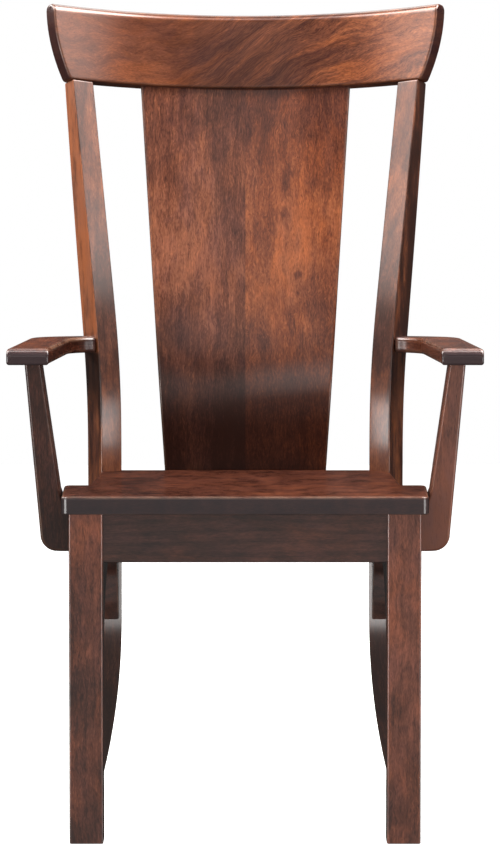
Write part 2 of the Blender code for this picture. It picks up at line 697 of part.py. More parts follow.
for label, side in SIDES:
    rail, post, leg, arm, stay = RAILS[label], POSTS[label], LEGS[label], ARMS[label], STAYS[label]
    apron_back = APRON_FRONT + APRON_THICK + GAP

    def rail_x(y):
        return side_inner(y) - GAP

    front_block = place(
        "corner_block_front_" + label,
        prism([(side * x, y) for x, y in (
            (172.0 * MM, apron_back), (142.0 * MM, apron_back),
            (rail_x(107.0 * MM), 107.0 * MM), (rail_x(77.0 * MM), 77.0 * MM))], BLOCK_BOTTOM, BLOCK_TOP),
        INNER_WOOD, 0.7)
    rear_front = REAR_FRONT - GAP
    rear_block = place(
        "corner_block_rear_" + label,
        prism([(side * x, y) for x, y in (
            (160.0 * MM, rear_front), (130.0 * MM, rear_front),
            (rail_x(338.0 * MM), 338.0 * MM), (rail_x(372.0 * MM), 372.0 * MM))], BLOCK_BOTTOM, BLOCK_TOP),
        INNER_WOOD, 0.7)

    out = (side, 0.0, 0.0)
    reach = 30.0 * MM
    fasten("block_screw_front_side_" + label, (side * 178.0 * MM, 92.0 * MM, 412.0 * MM), out, 25.0 * MM, reach, front_block, rail)
    fasten("block_screw_front_apron_" + label, (side * 155.0 * MM, 57.0 * MM, 425.0 * MM), (0.0, -1.0, 0.0), 26.0 * MM, reach,
           front_block, APRON)
    fasten("block_screw_rear_side_" + label, (side * 173.0 * MM, 355.0 * MM, 412.0 * MM), out, 25.0 * MM, reach, rear_block, rail)
    fasten("block_screw_rear_apron_" + label, (side * 145.0 * MM, 406.0 * MM, 425.0 * MM), (0.0, 1.0, 0.0), 33.0 * MM, reach,
           rear_block, REAR_APRON)
    up = (0.0, 0.0, 1.0)
    fasten("seat_screw_front_" + label, (side * 172.0 * MM, 70.0 * MM, 408.0 * MM), up, 46.0 * MM, reach, front_block, FRONT_BOARD)
    fasten("seat_screw_rear_" + label, (side * 161.0 * MM, 392.0 * MM, 408.0 * MM), up, 46.0 * MM, reach, rear_block, REAR_BOARD)

    for order, y in (("front", 118.0 * MM), ("rear", 140.0 * MM)):
        fasten("support_screw_" + order + "_" + label, (side * (side_inner(y) + 0.5 * MM), y, 405.0 * MM), out, 52.0 * MM,
               reach, rail, stay)

    # arm screw, driven through the post from inside and covered by a plug
    c, s = math.cos(POST_TOE), math.sin(POST_TOE)
    along = post_sweep(ARM_H) + 21.5 * MM
    plug_x, plug_y = post_point(side, 0.6 * MM, along)
    head_x, head_y = post_point(side, 7.0 * MM, along)
    outward = (side * c, -s, 0.0)
    place("arm_screw_" + label, screw_body((head_x, head_y, ARM_H), outward, 60.0 * MM), STEEL, 0.35, 0.9)
    drill(lambda: screw_bore((head_x, head_y, ARM_H), outward, 60.0 * MM, 0.0), arm)
    drill(lambda: turned([(PLUG + GAP, -20.0 * MM), (PLUG + GAP, 1.1 * MM), (SCREW_SHANK + 0.4 * MM, 3.8 * MM),
                          (SCREW_SHANK + 0.4 * MM, 40.0 * MM)], (head_x, head_y, ARM_H), outward, 12), post)
    place("arm_screw_plug_" + label, turned([(PLUG - 0.5 * MM, 0.0), (PLUG, 0.6 * MM), (PLUG, 6.0 * MM)],
                                            (plug_x, plug_y, ARM_H), outward, 12), POST_BROWN, 0.4, smooth=True)

    # dowel between support and arm
    foot = (side * 281.0 * MM, (STAY_FRONT + STAY_BACK) / 2.0, 607.0 * MM)
    place("arm_dowel_" + label, pin(foot, up, DOWEL, 36.0 * MM), PALE_WOOD, 0.6, smooth=True)
    drill(lambda: pin_bore(foot, up, DOWEL + GAP, -0.5 * MM, 36.5 * MM), stay, arm)

    # dowel between post and crest rail
    tilt = (0.0, math.sin(CREST_TILT), math.cos(CREST_TILT))
    x, y = post_point(side, POST_WIDE / 2.0, post_sweep(CREST_H) + POST_DEEP_TOP / 2.0)
    h = crest_plane(y)
    begin = (x - tilt[0] * 26.0 * MM, y - tilt[1] * 26.0 * MM, h - tilt[2] * 26.0 * MM)
    place("crest_dowel_" + label, pin(begin, tilt, DOWEL, 60.0 * MM), PALE_WOOD, 0.6, smooth=True)
    drill(lambda: pin_bore(begin, tilt, DOWEL + GAP, -0.5 * MM, 60.5 * MM), post, CREST)

    # mortises in the post
    drill(lambda: RAILS[label + "_mortise"], post)
    clear = 0.35 * MM
    a, b = side * (post_inner_line(REAR_TENON[0], GAP) - 12.0 * MM), side * (REAR_TENON_END + clear)
    drill(lambda: box(min(a, b), max(a, b), REAR_TENON[0] - clear, REAR_TENON[1] + clear,
                      TENON_LOW - clear, TENON_HIGH + clear), post)

# grooves for the splat
drill(lambda: splat_shape((-1.0, 1.0), lambda x: splat_top(x, -20.0 * MM), lambda x: splat_top(x, SPLAT_TONGUE + GAP), SPLAT_CLEAR, 3, 12), CREST)
drill(lambda: splat_shape((-1.0, 1.0), lambda x: SPLAT_FOOT_H - GAP, lambda x: SEAT_TOP + 6.0 * MM, SPLAT_CLEAR, 2, 12), REAR_APRON)

for piece, shells in bores.values():
    cut(piece, shells)
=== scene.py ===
import math

import bmesh
import bpy
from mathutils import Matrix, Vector


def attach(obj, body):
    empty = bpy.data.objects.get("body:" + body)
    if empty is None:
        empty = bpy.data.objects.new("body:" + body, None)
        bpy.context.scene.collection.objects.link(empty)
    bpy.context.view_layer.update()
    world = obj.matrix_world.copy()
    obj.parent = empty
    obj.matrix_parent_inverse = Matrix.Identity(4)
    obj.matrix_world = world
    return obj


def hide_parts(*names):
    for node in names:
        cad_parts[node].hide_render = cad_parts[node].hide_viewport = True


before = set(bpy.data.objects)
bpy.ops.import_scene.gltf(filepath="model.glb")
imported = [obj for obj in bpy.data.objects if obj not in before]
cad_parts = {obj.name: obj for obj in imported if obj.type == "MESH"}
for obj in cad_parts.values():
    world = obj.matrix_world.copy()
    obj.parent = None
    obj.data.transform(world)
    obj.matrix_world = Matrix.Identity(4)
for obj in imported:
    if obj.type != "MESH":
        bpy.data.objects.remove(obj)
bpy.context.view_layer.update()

MM = 0.001
GAP = 0.15 * MM

# ---- dimensions, as the CAD has them (depth y counts from the seat's front edge) -------------
FRONT_TO_ORIGIN = 290.6 * MM
SEAT_TOP, SEAT_THICK = 464.0 * MM, 24.0 * MM
SEAT_HALF_FRONT, SEAT_HALF_EAR, SEAT_HALF_STEP, SEAT_HALF_REAR = 242.0 * MM, 246.0 * MM, 212.0 * MM, 204.4 * MM
SEAT_FRONT_BOARD, SEAT_MIDDLE_END, SEAT_REAR = 179.0 * MM, 303.0 * MM, 426.6 * MM
SEAT_CORNER, SEAT_EDGE = 10.0 * MM, 4.0 * MM
RAIL_TOP = SEAT_TOP - SEAT_THICK - 0.3 * MM
RAIL_BOTTOM = RAIL_TOP - 65.0 * MM
LEG, LEG_INNER, LEG_FRONT = 45.0 * MM, 188.0 * MM, 15.0 * MM
APRON_FRONT, APRON_THICK = 20.0 * MM, 22.0 * MM
SIDE_THICK, SIDE_OUTER_FRONT, SIDE_TAPER = 22.0 * MM, 210.0 * MM, 9.0 / 350.0
ARCH_CENTRE, ARCH_HALF, ARCH_RISE = 230.0 * MM, 166.0 * MM, 120.0 * MM
POST_TOE = math.radians(28.0)
POST_WIDE, POST_DEEP, POST_DEEP_HIP, POST_DEEP_TOP, POST_DEEP_FOOT = 32.0 * MM, 45.0 * MM, 47.0 * MM, 28.5 * MM, 36.0 * MM
POST_X, POST_Z = 174.9 * MM, 414.5 * MM
POST_SPLAY_FROM, POST_SPLAY_RADIUS = 255.0 * MM, 448.0 * MM
POST_LEAN_FROM, POST_LEAN_OVER, POST_LEAN = 480.0 * MM, 250.0 * MM, 0.219
CREST_RADIUS, CREST_TILT = 570.0 * MM, math.radians(12.5)
CREST_HIGH, CREST_THICK = 109.0 * MM, 27.0 * MM
CREST_HALF_TOP, CREST_HALF_BOTTOM = 272.5 * MM, 249.0 * MM
CREST_Z, CREST_H = 533.0 * MM, 1006.0 * MM
SPLAT_THICK, SPLAT_HALF_BOTTOM, SPLAT_HALF_TOP = 13.0 * MM, 114.7 * MM, 150.0 * MM
SPLAT_SEAT_Z, SPLAT_TOP_Z = 437.0 * MM, 541.0 * MM
SPLAT_BOW_BOTTOM, SPLAT_BOW_TOP, SPLAT_LUMBAR = 1 / 2.0, 1 / 0.575, 5.0 * MM
REAR_FRONT, REAR_BACK, REAR_TOP = 427.0 * MM, 452.0 * MM, 455.0 * MM
ARM_TOP, ARM_THICK, ARM_FRONT = 654.0 * MM, 22.0 * MM, 85.0 * MM
ARM_OUTER_FRONT, ARM_INNER_FRONT, ARM_EDGE = 318.5 * MM, 262.0 * MM, 5.0 * MM
OUTER_TURN, INNER_TURN, ARM_END_WIDE = (304.5 * MM, 372.0 * MM), (247.0 * MM, 355.0 * MM), 43.0 * MM
STAY_FRONT, STAY_BACK, STAY_BOTTOM, STAY_FOOT_RADIUS = 95.0 * MM, 151.0 * MM, 382.0 * MM, 22.0 * MM
STAY_TOP = ARM_TOP - ARM_THICK - GAP
SIDES = (("left", -1.0), ("right", 1.0))


def lerp(a, b, t):
    return a + (b - a) * t


def ease(t):
    t = min(1.0, max(0.0, t))
    return t * t * (3.0 - 2.0 * t)


def near(a, b):
    return abs(a - b) < 1e-6


# ---- shape rules ---------------------------------------------------------------------------
def post_sweep(h):
    if h < POST_SPLAY_FROM:
        return (POST_SPLAY_FROM - h) ** 2 / (2.0 * POST_SPLAY_RADIUS)
    t = (h - POST_LEAN_FROM) / POST_LEAN_OVER
    if t <= 0.0:
        return 0.0
    full = POST_LEAN * POST_LEAN_OVER
    if t <= 1.0:
        return full * (t ** 3 - t ** 4 / 2.0)
    return full / 2.0 + POST_LEAN * (t - 1.0) * POST_LEAN_OVER


def post_depth(h):
    if h < 250.0 * MM:
        return lerp(POST_DEEP_FOOT, POST_DEEP, ease(h / (250.0 * MM)))
    full = lerp(POST_DEEP, POST_DEEP_HIP, ease((h - POST_LEAN_FROM) / (170.0 * MM)))
    thin = max(0.0, (h - 670.0 * MM) / (340.0 * MM)) ** 1.25
    return full - (POST_DEEP_HIP - POST_DEEP_TOP) * thin


def post_point(side, across, back):
    c, s = math.cos(POST_TOE), math.sin(POST_TOE)
    return side * (POST_X + across * c + back * s), POST_Z - across * s + back * c


def post_front_line(x, clear):
    return POST_Z - (x - POST_X) * math.tan(POST_TOE) - clear / math.cos(POST_TOE)


def post_inner_line(y, clear):
    return POST_X + (y - POST_Z) * math.tan(POST_TOE) - clear / math.cos(POST_TOE)


def crest_plane(y):
    return CREST_H - math.tan(CREST_TILT) * (y - CREST_Z)


def crest_point(angle, deep, high):
    x = (CREST_RADIUS + deep) * math.sin(angle)
    y = (CREST_RADIUS + deep) * math.cos(angle) - CREST_RADIUS
    c, s = math.cos(CREST_TILT), math.sin(CREST_TILT)
    return x, CREST_Z + y * c + high * s, CREST_H - y * s + high * c


def crest_end(high):
    fall = (CREST_HIGH - high) / CREST_HIGH
    half = CREST_HALF_TOP - (CREST_HALF_TOP - CREST_HALF_BOTTOM) * fall * fall
    return math.asin(half / CREST_RADIUS)


def splat_front(x, h):
    lean = post_sweep(h) / post_sweep(CREST_H)
    rise = min(1.0, max(0.0, (h - SEAT_TOP) / (230.0 * MM)))
    middle = SPLAT_SEAT_Z + (SPLAT_TOP_Z - SPLAT_SEAT_Z) * lean - SPLAT_LUMBAR * math.sin(math.pi * rise) ** 2
    t = min(1.0, max(0.0, (h - SEAT_TOP) / (CREST_H - SEAT_TOP)))
    bow = lerp(SPLAT_BOW_BOTTOM, SPLAT_BOW_TOP, math.sin(math.pi / 2.0 * t))
    return middle - bow * x * x / 2.0


def splat_half(h):
    return lerp(SPLAT_HALF_BOTTOM, SPLAT_HALF_TOP, (h - SEAT_TOP) / (CREST_H - SEAT_TOP))


def splat_top(x, above):
    h = CREST_H
    for _ in range(12):
        h = crest_plane(splat_front(x, h)) + above
    return h


def seat_side(y):
    return lerp(SEAT_HALF_STEP, SEAT_HALF_REAR, (y - SEAT_FRONT_BOARD) / (398.0 * MM - SEAT_FRONT_BOARD))


def side_outer(y):
    return SIDE_OUTER_FRONT - (y - LEG_FRONT - LEG) * SIDE_TAPER


def side_inner(y):
    return side_outer(y) - SIDE_THICK


def curve(points, t):
    p0, p1, p2, p3 = points
    m = 1.0 - t
    return tuple(m ** 3 * a + 3 * m * m * t * b + 3 * m * t * t * c + t ** 3 * d for a, b, c, d in zip(p0, p1, p2, p3))


# ---- wood ----------------------------------------------------------------------------------
class Graph:
    """Short hand for the nodes of a material, or of the studio's surroundings."""

    def __init__(self, name, tree=None):
        if tree:
            self.tree = tree
            return
        self.material = bpy.data.materials.new(name)
        self.material.use_nodes = True
        self.tree = self.material.node_tree
        self.shader = self.tree.nodes["Principled BSDF"]

    def put(self, socket, value):
        if hasattr(value, "is_output"):
            self.tree.links.new(value, socket)
        else:
            socket.default_value = value

    def math(self, what, a, b=0.0, c=0.0, clamp=False):
        n = self.tree.nodes.new("ShaderNodeMath")
        n.operation, n.use_clamp = what, clamp
        for socket, value in zip(n.inputs, (a, b, c)):
            self.put(socket, value)
        return n.outputs[0]

    def vector(self, what, a, b=(0.0, 0.0, 0.0)):
        n = self.tree.nodes.new("ShaderNodeVectorMath")
        n.operation = what
        self.put(n.inputs[0], a)
        self.put(n.inputs[1], b)
        return n.outputs[0]

    def attribute(self, name, output="Vector"):
        n = self.tree.nodes.new("ShaderNodeAttribute")
        n.attribute_type, n.attribute_name = "GEOMETRY", name
        return n.outputs[output]

    def object_place(self):
        return self.tree.nodes.new("ShaderNodeTexCoord").outputs["Object"]

    def noise(self, place, detail=3.0, rough=0.5, twist=0.0, output="Fac", scale=1.0):
        n = self.tree.nodes.new("ShaderNodeTexNoise")
        n.noise_dimensions = "3D"
        self.put(n.inputs["Vector"], place)
        for key, value in (("Scale", scale), ("Detail", detail), ("Roughness", rough), ("Distortion", twist)):
            n.inputs[key].default_value = value
        return n.outputs[output]

    def fit(self, value, low, high, to_low=0.0, to_high=1.0, smooth=True):
        n = self.tree.nodes.new("ShaderNodeMapRange")
        n.interpolation_type = "SMOOTHSTEP" if smooth else "LINEAR"
        n.clamp = True
        for i, v in enumerate((value, low, high, to_low, to_high)):
            self.put(n.inputs[i], v)
        return n.outputs[0]

    def ramp(self, value, stops):
        n = self.tree.nodes.new("ShaderNodeValToRGB")
        cr = n.color_ramp
        cr.interpolation = "LINEAR"
        while len(cr.elements) < len(stops):
            cr.elements.new(0.5)
        for element, (at, colour) in zip(cr.elements, stops):
            element.position = at
            element.color = (*colour, 1.0)
        self.put(n.inputs[0], value)
        return n.outputs[0]

    def mix(self, share, a, b, how="MIX"):
        n = self.tree.nodes.new("ShaderNodeMix")
        n.data_type, n.blend_type = "RGBA", how
        self.put(n.inputs["Factor"], share)
        for key, value in (("A", a), ("B", b)):
            socket = [s for s in n.inputs if s.name == key and s.type == "RGBA"][0]
            self.put(socket, (*value, 1.0) if isinstance(value, tuple) and len(value) == 3 else value)
        return [s for s in n.outputs if s.type == "RGBA"][0]

    def split(self, value):
        n = self.tree.nodes.new("ShaderNodeSeparateXYZ")
        self.put(n.inputs[0], value)
        return n.outputs[0], n.outputs[1], n.outputs[2]

    def pack(self, x, y, z):
        n = self.tree.nodes.new("ShaderNodeCombineXYZ")
        for socket, value in zip(n.inputs, (x, y, z)):
            self.put(socket, value)
        return n.outputs[0]

    def bump(self, height, strength, distance):
        n = self.tree.nodes.new("ShaderNodeBump")
        n.inputs["Strength"].default_value = strength
        n.inputs["Distance"].default_value = distance
        self.put(n.inputs["Height"], height)
        return n.outputs[0]


def shade(colour, k):
    return tuple(min(1.0, max(0.0, c * k)) for c in colour)


def wood(name, dark, mid, light, blotch=0.26, patches=0.17, streak=0.75, fine=0.60, rings=0.07, ring_size=0.009,
         pith=(0.05, -0.045), blotch_scale=(9.0, 20.0), fleck=0.35, gloss=0.44, sheen=0.35, coat=1.0, coat_rough=0.18,
         figure=None, stain_and_painted_light=None, bias=0.0, worn=(0.30, 0.17, 0.11), wear=0.35, wander=0.014, cut_dark=0.6,
         warm=0.55, cool=0.50, coat_of=None, cut_coat=None,
         spec=0.2, painted_shade=None, ripple=0.0, bare=0.0):
    """Stained hardwood. The grain attribute runs along, across and into the board, in metres."""
    g = Graph(name)
    grain = g.attribute("grain")
    # slow wander of the fibres
    drift = g.noise(g.vector("MULTIPLY", grain, (3.0, 8.0, 8.0)), 2.0, 0.5, 0.0, "Color")
    drift = g.vector("MULTIPLY", g.vector("SUBTRACT", drift, (0.5, 0.5, 0.5)), (0.0, 2.0 * wander, 2.0 * wander))
    place = g.vector("ADD", grain, drift)
    if ripple:
        wave = g.noise(g.vector("MULTIPLY", grain, (34.0, 52.0, 52.0)), 2.0, 0.5, 0.0, "Color")
        wave = g.vector("MULTIPLY", g.vector("SUBTRACT", wave, (0.5, 0.5, 0.5)), (0.0, 2.0 * ripple, 2.0 * ripple))
        place = g.vector("ADD", place, wave)
    lively = None
    if figure:
        place, lively = figure(g, grain, place)
    along, across, into = g.split(place)
    # soft patches where the stain took unevenly
    a, b = blotch_scale
    patch = g.fit(g.noise(g.vector("MULTIPLY", place, (a, b, b)), 2.5, 0.5, 0.6), 0.30, 0.70)
    patch2 = g.fit(g.noise(g.vector("MULTIPLY", place, (a * 3.0, b * 3.4, b * 3.4)), 3.0, 0.55, 0.4), 0.30, 0.70)
    # growth rings about a wandering pith
    dy = g.math("SUBTRACT", across, pith[0])
    dz = g.math("SUBTRACT", into, pith[1])
    far = g.math("SQRT", g.math("ADD", g.math("MULTIPLY", dy, dy), g.math("MULTIPLY", dz, dz)))
    year = g.math("MULTIPLY", far, 2.0 * math.pi / ring_size)
    late = g.noise(g.vector("MULTIPLY", place, (4.0, 22.0, 22.0)), 2.0, 0.5)
    ring = g.fit(g.math("SINE", g.math("ADD", year, g.math("MULTIPLY", late, 9.0))), -0.2, 1.0)
    # fibres at several sizes, and pores
    fibre = g.noise(g.vector("MULTIPLY", place, (95.0, 740.0, 740.0)), 2.0, 0.55, 0.0)
    hair = g.noise(g.vector("MULTIPLY", place, (150.0, 1500.0, 1500.0)), 2.0, 0.6, 0.0)
    line = g.noise(g.vector("MULTIPLY", place, (28.0, 400.0, 400.0)), 2.0, 0.55, 0.0)
    speck = g.noise(g.vector("MULTIPLY", place, (170.0, 600.0, 600.0)), 1.5, 0.55, 0.0)
    pore = g.fit(g.noise(g.vector("MULTIPLY", place, (70.0, 900.0, 900.0)), 1.0, 0.4, 0.0), 0.60, 0.72)
    value = g.math("MULTIPLY", g.math("SUBTRACT", patch, 0.5), blotch)
    for share, layer, middle in ((patches, patch2, 0.5), (0.75 * streak, fibre, 0.5), (fine, hair, 0.5), (0.66 * streak, line, 0.5),
                                 (0.62 * streak, speck, 0.5), (-rings, ring, 0.4)):
        value = g.math("ADD", value, g.math("MULTIPLY", g.math("SUBTRACT", layer, middle), share))
    if lively:
        value = g.math("MULTIPLY", value, lively)
    value = g.math("ADD", value, 0.5 + bias)
    value = g.math("ADD", value, g.attribute("tone", "Fac"))
    # painted light and shade by place are added here; on the splat boards and posts some real figure and cloud come in
    # as well
    if stain_and_painted_light:
        value = g.math("ADD", value, stain_and_painted_light(g, g.attribute("spot")))
    colour = g.ramp(value, ((0.05, shade(dark, 0.55)), (0.27, dark), (0.50, mid), (0.76, light), (1.0, shade(light, 1.4))))
    # the hue wanders between orange and a cooler, rosy brown
    sunny = g.fit(g.noise(g.vector("ADD", g.vector("MULTIPLY", place, (9.0, 24.0, 24.0)), (3.1, 8.2, 1.7)), 3.0, 0.6, 0.5), 0.40, 0.66)
    rosy = g.fit(g.noise(g.vector("ADD", g.vector("MULTIPLY", place, (13.0, 30.0, 30.0)), (9.4, 1.3, 6.6)), 3.0, 0.6, 0.5), 0.42, 0.66)
    colour = g.mix(g.math("MULTIPLY", sunny, warm), colour, (1.22, 1.02, 0.66), "MULTIPLY")
    colour = g.mix(g.math("MULTIPLY", rosy, cool), colour, (0.82, 0.86, 1.10), "MULTIPLY")
    # darker mineral marks and pores
    mark = g.noise(g.vector("ADD", g.vector("MULTIPLY", place, (15.0, 62.0, 62.0)), (7.3, 2.1, 5.7)), 3.0, 0.6, 0.9)
    mark = g.math("MULTIPLY", g.fit(mark, 0.60, 0.76), fleck)
    colour = g.mix(mark, colour, (dark[0] * 0.72, dark[1] * 0.68, dark[2] * 0.95))
    colour = g.mix(g.math("MULTIPLY", pore, 0.28), colour, shade(dark, 0.6))
    # painted shade: the colour is pulled to near black where this mask says (the splat's foot, the posts under the
    # arms)
    if painted_shade:
        colour = g.mix(painted_shade(g, g.attribute("spot")), colour, (dark[0] * 0.16, dark[1] * 0.13, dark[2] * 0.12))
    # end grain and sawn edges drink more stain
    colour = g.mix(g.math("MULTIPLY", g.attribute("cut", "Fac"), cut_dark), colour, (dark[0] * 0.36, dark[1] * 0.28, dark[2] * 0.80))
    # rubbed arrises: a paler worn colour along the rounded edges, partly a painted highlight there
    worn_edge_and_highlight = g.attribute("wear", "Fac")
    ragged = g.fit(g.noise(g.vector("MULTIPLY", grain, (20.0, 60.0, 60.0)), 2.0, 0.5), 0.30, 0.62)
    worn_edge_and_highlight = g.math("MULTIPLY", g.math("MULTIPLY", worn_edge_and_highlight, ragged), wear)
    colour = g.mix(worn_edge_and_highlight, colour, worn)
    g.put(g.shader.inputs["Base Color"], colour)
    g.shader.inputs["Metallic"].default_value = sheen
    rough = g.math("MULTIPLY_ADD", fibre, 0.14, gloss - 0.07)
    rough = g.math("ADD", rough, g.math("MULTIPLY", g.math("SUBTRACT", patch2, 0.5), 0.06))
    g.put(g.shader.inputs["Roughness"], rough)
    g.shader.inputs["IOR"].default_value = 1.5
    g.shader.inputs["Specular IOR Level"].default_value = spec
    g.shader.inputs["Coat Weight"].default_value = coat
    if cut_coat is not None:
        g.put(g.shader.inputs["Coat Weight"], g.fit(g.attribute("cut", "Fac"), 0.0, 1.0, coat, cut_coat))
        g.put(g.shader.inputs["Specular IOR Level"], g.fit(g.attribute("cut", "Fac"), 0.0, 1.0, spec, 0.3))
    if coat_of:
        kept = g.math("MULTIPLY_ADD", g.attribute("wear", "Fac"), -bare, coat)
        g.put(g.shader.inputs["Coat Weight"], g.math("MULTIPLY", coat_of(g, g.attribute("spot")), kept))
    g.shader.inputs["Coat Roughness"].default_value = coat_rough
    height = g.math("ADD", g.math("MULTIPLY", fibre, 0.7), g.math("MULTIPLY", line, 0.5))
    height = g.math("SUBTRACT", height, g.math("MULTIPLY", pore, 0.6))
    g.put(g.shader.inputs["Normal"], g.bump(height, 0.16, 0.00025))
    return g.material


# ---- meshes --------------------------------------------------------------------------------
COUNT = [0]


def show(name, mesh, material, node):
    thing = bpy.data.objects.new(name, mesh)
    bpy.context.scene.collection.objects.link(thing)
    thing.location = (0.0, -FRONT_TO_ORIGIN, 0.0)
    mesh.materials.append(material)
    for face in mesh.polygons:
        face.use_smooth = True
    step = thing.modifiers.new("Flat faces stay flat", "WEIGHTED_NORMAL")
    step.keep_sharp = True
    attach(thing, "root")
    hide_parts(node)
    return thing


def offset():
    """Each board comes from another part of the tree."""
    COUNT[0] += 1
    k = COUNT[0]
    return (1.37 * k, 0.0, 0.0)


def crease(bm):
    """Glue lines, shoulders and cut ends stay crisp; rounded arrises run smoothly."""
    bmesh.ops.recalc_face_normals(bm, faces=bm.faces)
    for e in bm.edges:
        if len(e.link_faces) == 2 and e.calc_face_angle(0.0) > math.radians(33.0):
            e.smooth = False


def layers(bm):
    vectors, numbers = bm.verts.layers.float_vector, bm.verts.layers.float
    for name in ("grain", "spot"):
        if name not in vectors:
            vectors.new(name)
    for name in ("wear", "cut", "tone"):
        if name not in numbers:
            numbers.new(name)
    return vectors["grain"], vectors["spot"], numbers["wear"], numbers["cut"], numbers["tone"]


def lofted(name, rings, material, node, strip=False, tone=0.0):
    """rings of (place, grain, wear), with cut and tone if wanted; flat caps, or strips across paired points."""
    shift = offset()
    bm = bmesh.new()
    grain_layer, spot_layer, wear_layer, cut_layer, tone_layer = layers(bm)
    rows = []
    for ring in rings:
        row = []
        for co, grain, wear, *more in ring:
            v = bm.verts.new(co)
            v[grain_layer] = (grain[0] + shift[0], grain[1] + shift[1], grain[2] + shift[2])
            v[spot_layer] = grain
            v[wear_layer] = wear
            v[cut_layer] = more[0] if more else 0.0
            v[tone_layer] = tone + (more[1] if len(more) > 1 else 0.0)
            row.append(v)
        rows.append(row)
    n = len(rows[0])
    for a, b in zip(rows, rows[1:]):
        for i in range(n):
            bm.faces.new((a[i], a[(i + 1) % n], b[(i + 1) % n], b[i]))
    for row in (rows[0], rows[-1]):
        if strip:
            for i in range(n // 2 - 1):
                bm.faces.new((row[i], row[i + 1], row[n - 2 - i], row[n - 1 - i]))
        else:
            bm.faces.new(row)
    crease(bm)
    mesh = bpy.data.meshes.new(name)
    bm.to_mesh(mesh)
    bm.free()
    return show(name, mesh, material, node)


def section(u0, u1, v0, v1, r, steps=4, ease_in=1.6 * MM, sides=0):
    """A rounded rectangle as (u, v, wear), with points beside each arc so that wear stays on the arris."""
    r = max(r, 0.05 * MM)
    points = []
    corners = ((u1 - r, v1 - r, 0), (u0 + r, v1 - r, 90), (u0 + r, v0 + r, 180), (u1 - r, v0 + r, 270))
    for cu, cv, start in corners:
        a = math.radians(start)
        du, dv = math.sin(a), -math.cos(a)
        points.append((cu + r * math.cos(a) + du * ease_in, cv + r * math.sin(a) + dv * ease_in, 0.0))
        for k in range(steps + 1):
            t = k / steps
            a = math.radians(start + 90.0 * t)
            points.append((cu + r * math.cos(a), cv + r * math.sin(a), 0.25 + 0.75 * math.sin(math.pi * t)))
        a = math.radians(start + 90.0)
        du, dv = -math.sin(a), math.cos(a)
        points.append((cu + r * math.cos(a) + du * ease_in, cv + r * math.sin(a) + dv * ease_in, 0.0))
    return points


def prism_bm(outline, low, high, along=None):
    bm = bmesh.new()
    if along is None:
        rows = [[bm.verts.new((x, y, h)) for x, y in outline] for h in (low, high)]
    else:
        rows = [[bm.verts.new((x, y, h)) for x, h in outline] for y in (low, high)]
    n = len(outline)
    for i in range(n):
        bm.faces.new((rows[0][i], rows[0][(i + 1) % n], rows[1][(i + 1) % n], rows[1][i]))
    bm.faces.new(rows[0])
    bm.faces.new(rows[1])
    bmesh.ops.recalc_face_normals(bm, faces=bm.faces)
    bm.verts.layers.float.new("wear")
    return bm


def soften(bm, pick, width, steps=4, worn=1.0):
    chosen = [e for e in bm.edges if pick(e.verts[0].co, e.verts[1].co)]
    made = bmesh.ops.bevel(bm, geom=chosen, offset=width, offset_type="OFFSET", segments=steps, profile=0.5,
                           affect="EDGES", clamp_overlap=False)
    layer = bm.verts.layers.float["wear"]
    fresh = set(made["faces"])
    for face in fresh:
        for v in face.verts:
            inside = all(f in fresh for f in v.link_faces)
            v[layer] = max(v[layer], worn if inside else 0.0)


def carved(name, bm, grain_of, material, node, tone=0.0, cut_of=None):
    """A piece whose grain follows straight from its place."""
    shift = offset()
    grain_layer, spot_layer, _, cut_layer, tone_layer = layers(bm)
    for v in bm.verts:
        a, b, c = grain_of(v.co)
        v[grain_layer] = (a + shift[0], b + shift[1], c + shift[2])
        v[spot_layer] = (a, b, c)
        v[cut_layer] = cut_of(v.co) if cut_of else 0.0
        v[tone_layer] = tone
    crease(bm)
    mesh = bpy.data.meshes.new(name)
    bm.to_mesh(mesh)
    bm.free()
    return show(name, mesh, material, node)


# ---- finishes ------------------------------------------------------------------------------
def bend(g, value, soft):
    """Zero, turning softly into a straight climb."""
    grown = g.math("EXPONENT", g.math("DIVIDE", value, soft))
    return g.math("MULTIPLY", g.math("LOGARITHM", g.math("ADD", grown, 1.0), math.e), soft)


def crest_figure(g, grain, place):
    """Crotch figure: the fibres climb steeply through the middle and level off toward the right end."""
    along, across, into = g.split(g.attribute("spot"))
    curl = g.noise(g.vector("MULTIPLY", grain, (13.0, 19.0, 19.0)), 1.5, 0.5, 0.0, "Color")
    curl = g.vector("MULTIPLY", g.vector("SUBTRACT", curl, (0.5, 0.5, 0.5)), (0.034, 0.036, 0.0))
    feather = g.noise(g.vector("MULTIPLY", grain, (38.0, 60.0, 60.0)), 3.0, 0.6, 0.0, "Color")
    feather = g.vector("MULTIPLY", g.vector("SUBTRACT", feather, (0.5, 0.5, 0.5)), (0.0, 0.0035, 0.0))
    climb = g.math("MULTIPLY", bend(g, g.math("ADD", along, 0.085), 0.022), 0.85)
    climb = g.math("SUBTRACT", climb, g.math("MULTIPLY", bend(g, g.math("SUBTRACT", along, 0.105), 0.030), 0.70))
    place = g.vector("ADD", g.pack(along, g.math("SUBTRACT", across, climb), into), g.vector("ADD", curl, feather))
    return place, g.fit(along, -0.12, 0.03, 0.55, 1.0)


def crest_painted_shade_and_light(g, spot):
    """Painted shade in the middle of the rail, most of all near its lower edge, and painted light toward the right
    end.
    """
    along, across, _ = g.split(spot)
    middle = g.fit(g.math("ABSOLUTE", along), 0.03, 0.14, -0.19, 0.0)
    middle = g.math("MULTIPLY", middle, g.fit(across, 0.02, 0.10, 1.0, 0.45))
    return g.math("ADD", middle, g.fit(along, 0.10, 0.22, 0.0, 0.07))


